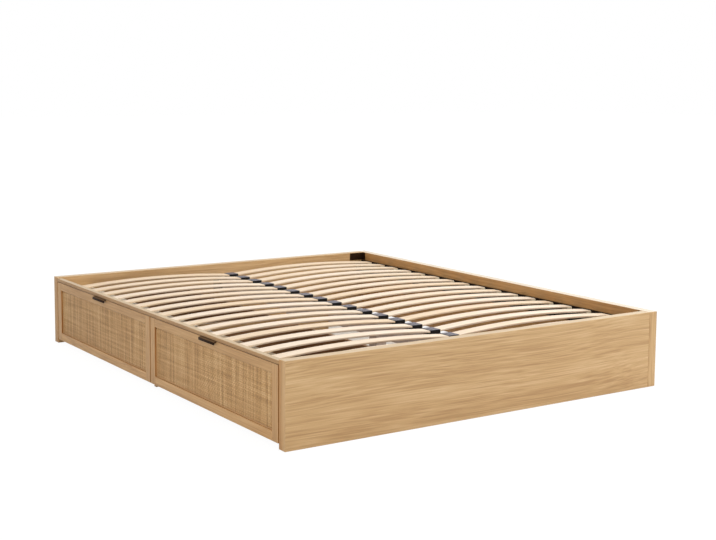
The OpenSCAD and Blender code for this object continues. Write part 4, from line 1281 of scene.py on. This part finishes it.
# The whitening ends this far inside the outline of the bed, past what shows under the drawers.
# The boards are thinner, so a strip of floor inside the closed sides is whitened as well
FLOOR_INSET = 85 * MM
# Share of white that the camera sees on the floor close to the bed, and the strength of that
# white, where 1 is the white of the surroundings
FLOOR_WHITE, FLOOR_GLOW = 0.92, 1.05
# Size of the floor; at its far edge its white meets the white of the surroundings
FLOOR_SIZE = 30.0
# Strength of the surroundings as a light, where 1 is the white that the camera sees
WORLD_LIGHT = 0.44
# Soft square lamps: name, place, aim, width, power and tint
LAMPS = (
    ("overhead", (0.7, -0.6, 4.5), (0, 0, 0.2), 4.5, 181.0, (1.0, 1.0, 1.0)),
    ("front", (3.2, -4.0, 1.7), (0.7, -1.0, 0.2), 1.8, 49.0, (1.0, 1.0, 1.0)),
    ("left", (-4.2, -2.8, 0.8), (-0.8, -0.5, 0.15), 1.4, 34.0, (1.0, 1.0, 1.0)),
    ("right", (3.6, 0.8, 2.6), (0.4, 0.1, 0.25), 2.0, 26.0, (0.78, 0.92, 1.0)),
)
# Camera fitted to the photograph: its place in metres, and its heading, tilt and roll in degrees
CAMERA_PLACE = (-2.9448, -4.5864, 1.2290)
CAMERA_TURN = (33.786, 6.409, 0.435)
# Width of the photograph, focal length and rise of the optical axis above the middle, in pixels
FRAME_WIDTH, FOCAL_PIXELS, AXIS_RISE = 716, 1284.2, 49.5
SENSOR_WIDTH = 36.0


def seen_directly(tree):
    """One for rays that show the background itself: from the camera, off gloss, through glass."""
    path = add(tree, "ShaderNodeLightPath").outputs
    seen = path["Is Camera Ray"]
    for ray in ("Is Glossy Ray", "Is Transmission Ray"):
        seen = add(tree, "ShaderNodeMath", {0: seen, 1: path[ray]}, operation="MAXIMUM").outputs[0]
    return seen


def floor_finish():
    """Pale seamless floor of one colour: white to the camera, with a soft shadow left on it by
    the bed, and all of that shadow from the inner edge of the whitening on."""
    material = bpy.data.materials.new("pale_floor")
    material.use_nodes = True
    tree = material.node_tree
    tree.nodes.clear()
    output = tree.nodes.new("ShaderNodeOutputMaterial")
    coords = add(tree, "ShaderNodeTexCoord").outputs["Object"]
    part = add(tree, "ShaderNodeSeparateXYZ", {0: coords}).outputs
    sides = []
    for i in (0, 1):
        reach = add(tree, "ShaderNodeMath", {0: part[i]}, operation="ABSOLUTE").outputs[0]
        sides.append(add(tree, "ShaderNodeMath", {0: reach, 1: CAD_BOX[1][i] - FLOOR_INSET},
                         operation="GREATER_THAN").outputs[0])
    outside = add(tree, "ShaderNodeMath", dict(enumerate(sides)), operation="MAXIMUM").outputs[0]
    away = add(tree, "ShaderNodeVectorMath", {0: coords}, operation="LENGTH").outputs["Value"]
    share = add(tree, "ShaderNodeMapRange",
                {0: away, 1: FLOOR_NEAR, 2: FLOOR_FAR, 3: FLOOR_WHITE, 4: 1.0}).outputs[0]
    for part_of in (outside, seen_directly(tree)):
        share = add(tree, "ShaderNodeMath", {0: share, 1: part_of}, operation="MULTIPLY").outputs[0]
    matt = add(tree, "ShaderNodeBsdfDiffuse", {"Color": linear(FLOOR_TONE)})
    plain = add(tree, "ShaderNodeEmission", {"Color": grey(1.0), "Strength": FLOOR_GLOW})
    both = add(tree, "ShaderNodeMixShader", {0: share, 1: matt.outputs[0], 2: plain.outputs[0]})
    tree.links.new(both.outputs[0], output.inputs["Surface"])
    return material


def world_light():
    """White surroundings: full white to the camera and to gloss, softer as a light."""
    world = bpy.data.worlds.new("white_surroundings")
    bpy.context.scene.world = world
    world.use_nodes = True
    tree = world.node_tree
    tree.nodes.clear()
    strength = add(tree, "ShaderNodeMath", {0: seen_directly(tree), 1: 1.0 - WORLD_LIGHT,
                                            2: WORLD_LIGHT}, operation="MULTIPLY_ADD").outputs[0]
    light = add(tree, "ShaderNodeBackground", {"Color": grey(1.0), "Strength": strength})
    output = tree.nodes.new("ShaderNodeOutputWorld")
    tree.links.new(light.outputs[0], output.inputs["Surface"])


def softbox(name, place, aim, size, power, tint):
    """A large square lamp that looks at a point."""
    data = bpy.data.lights.new(name, "AREA")
    data.shape = "SQUARE"
    data.size = size
    data.energy = power
    data.color = tint
    lamp = bpy.data.objects.new(name, data)
    lamp.location = place
    lamp.rotation_euler = (Vector(aim) - Vector(place)).to_track_quat("-Z", "Y").to_euler()
    bpy.context.scene.collection.objects.link(lamp)


def aimed_camera():
    """Camera at the photograph's place, from its fitted heading, tilt, roll and focal length."""
    yaw, pitch, roll = (math.radians(angle) for angle in CAMERA_TURN)
    ahead = Vector((math.sin(yaw) * math.cos(pitch), math.cos(yaw) * math.cos(pitch),
                    -math.sin(pitch)))
    right = Vector((math.cos(yaw), -math.sin(yaw), 0))
    up = right.cross(ahead)
    side = right * math.cos(roll) + up * math.sin(roll)
    top = up * math.cos(roll) - right * math.sin(roll)
    data = bpy.data.cameras.new("view")
    data.sensor_width = SENSOR_WIDTH
    data.lens = SENSOR_WIDTH * FOCAL_PIXELS / FRAME_WIDTH
    data.shift_y = -AXIS_RISE / FRAME_WIDTH
    camera = bpy.data.objects.new("view", data)
    turn = Matrix((side, top, -ahead)).transposed().to_4x4()
    camera.matrix_world = Matrix.Translation(CAMERA_PLACE) @ turn
    bpy.context.scene.collection.objects.link(camera)
    bpy.context.scene.camera = camera


class BED_OT_stage(bpy.types.Operator):
    """Sets the floor, the soft lamps, the white surroundings and the camera"""

    bl_idname = "bed.stage"
    bl_label = "Stage"

    def execute(self, context):
        bm = bmesh.new()
        bmesh.ops.create_grid(bm, x_segments=1, y_segments=1, size=FLOOR_SIZE)
        floor = bpy.data.objects.new("floor", mesh_of(bm, "floor"))
        floor.data.materials.append(floor_finish())
        context.scene.collection.objects.link(floor)
        world_light()
        for lamp in LAMPS:
            softbox(*lamp)
        context.scene.view_settings.view_transform = "Standard"
        aimed_camera()
        return {"FINISHED"}


# ---- Add-on ----


class BED_PT_pieces(bpy.types.Panel):
    """Lists what the bed is dressed with"""

    bl_idname = "BED_PT_pieces"
    bl_label = "Platform Bed"
    bl_space_type = "VIEW_3D"
    bl_region_type = "UI"
    bl_category = "Bed"

    def draw(self, context):
        layout = self.layout
        for group in (context.scene.bed_sizes, context.scene.bed_colours):
            column = layout.column(align=True)
            for name in group.__annotations__:
                column.prop(group, name)
        for kind in OPERATORS:
            layout.operator(kind.bl_idname)


OPERATORS = (BED_OT_boards, BED_OT_slats, BED_OT_holders, BED_OT_cane, BED_OT_pulls,
             BED_OT_screws, BED_OT_metalwork, BED_OT_stage)
CLASSES = (BedSizes, BedColours) + OPERATORS + (BED_PT_pieces,)


def register():
    for kind in CLASSES:
        bpy.utils.register_class(kind)
    bpy.types.Scene.bed_sizes = PointerProperty(type=BedSizes)
    bpy.types.Scene.bed_colours = PointerProperty(type=BedColours)


def unregister():
    del bpy.types.Scene.bed_colours
    del bpy.types.Scene.bed_sizes
    for kind in reversed(CLASSES):
        bpy.utils.unregister_class(kind)


def main():
    register()
    bpy.ops.bed.boards()
    bpy.ops.bed.slats()
    bpy.ops.bed.holders()
    bpy.ops.bed.cane()
    bpy.ops.bed.pulls()
    bpy.ops.bed.screws()
    bpy.ops.bed.metalwork()
    bpy.ops.bed.stage()


if __name__ == "__main__":
    main()
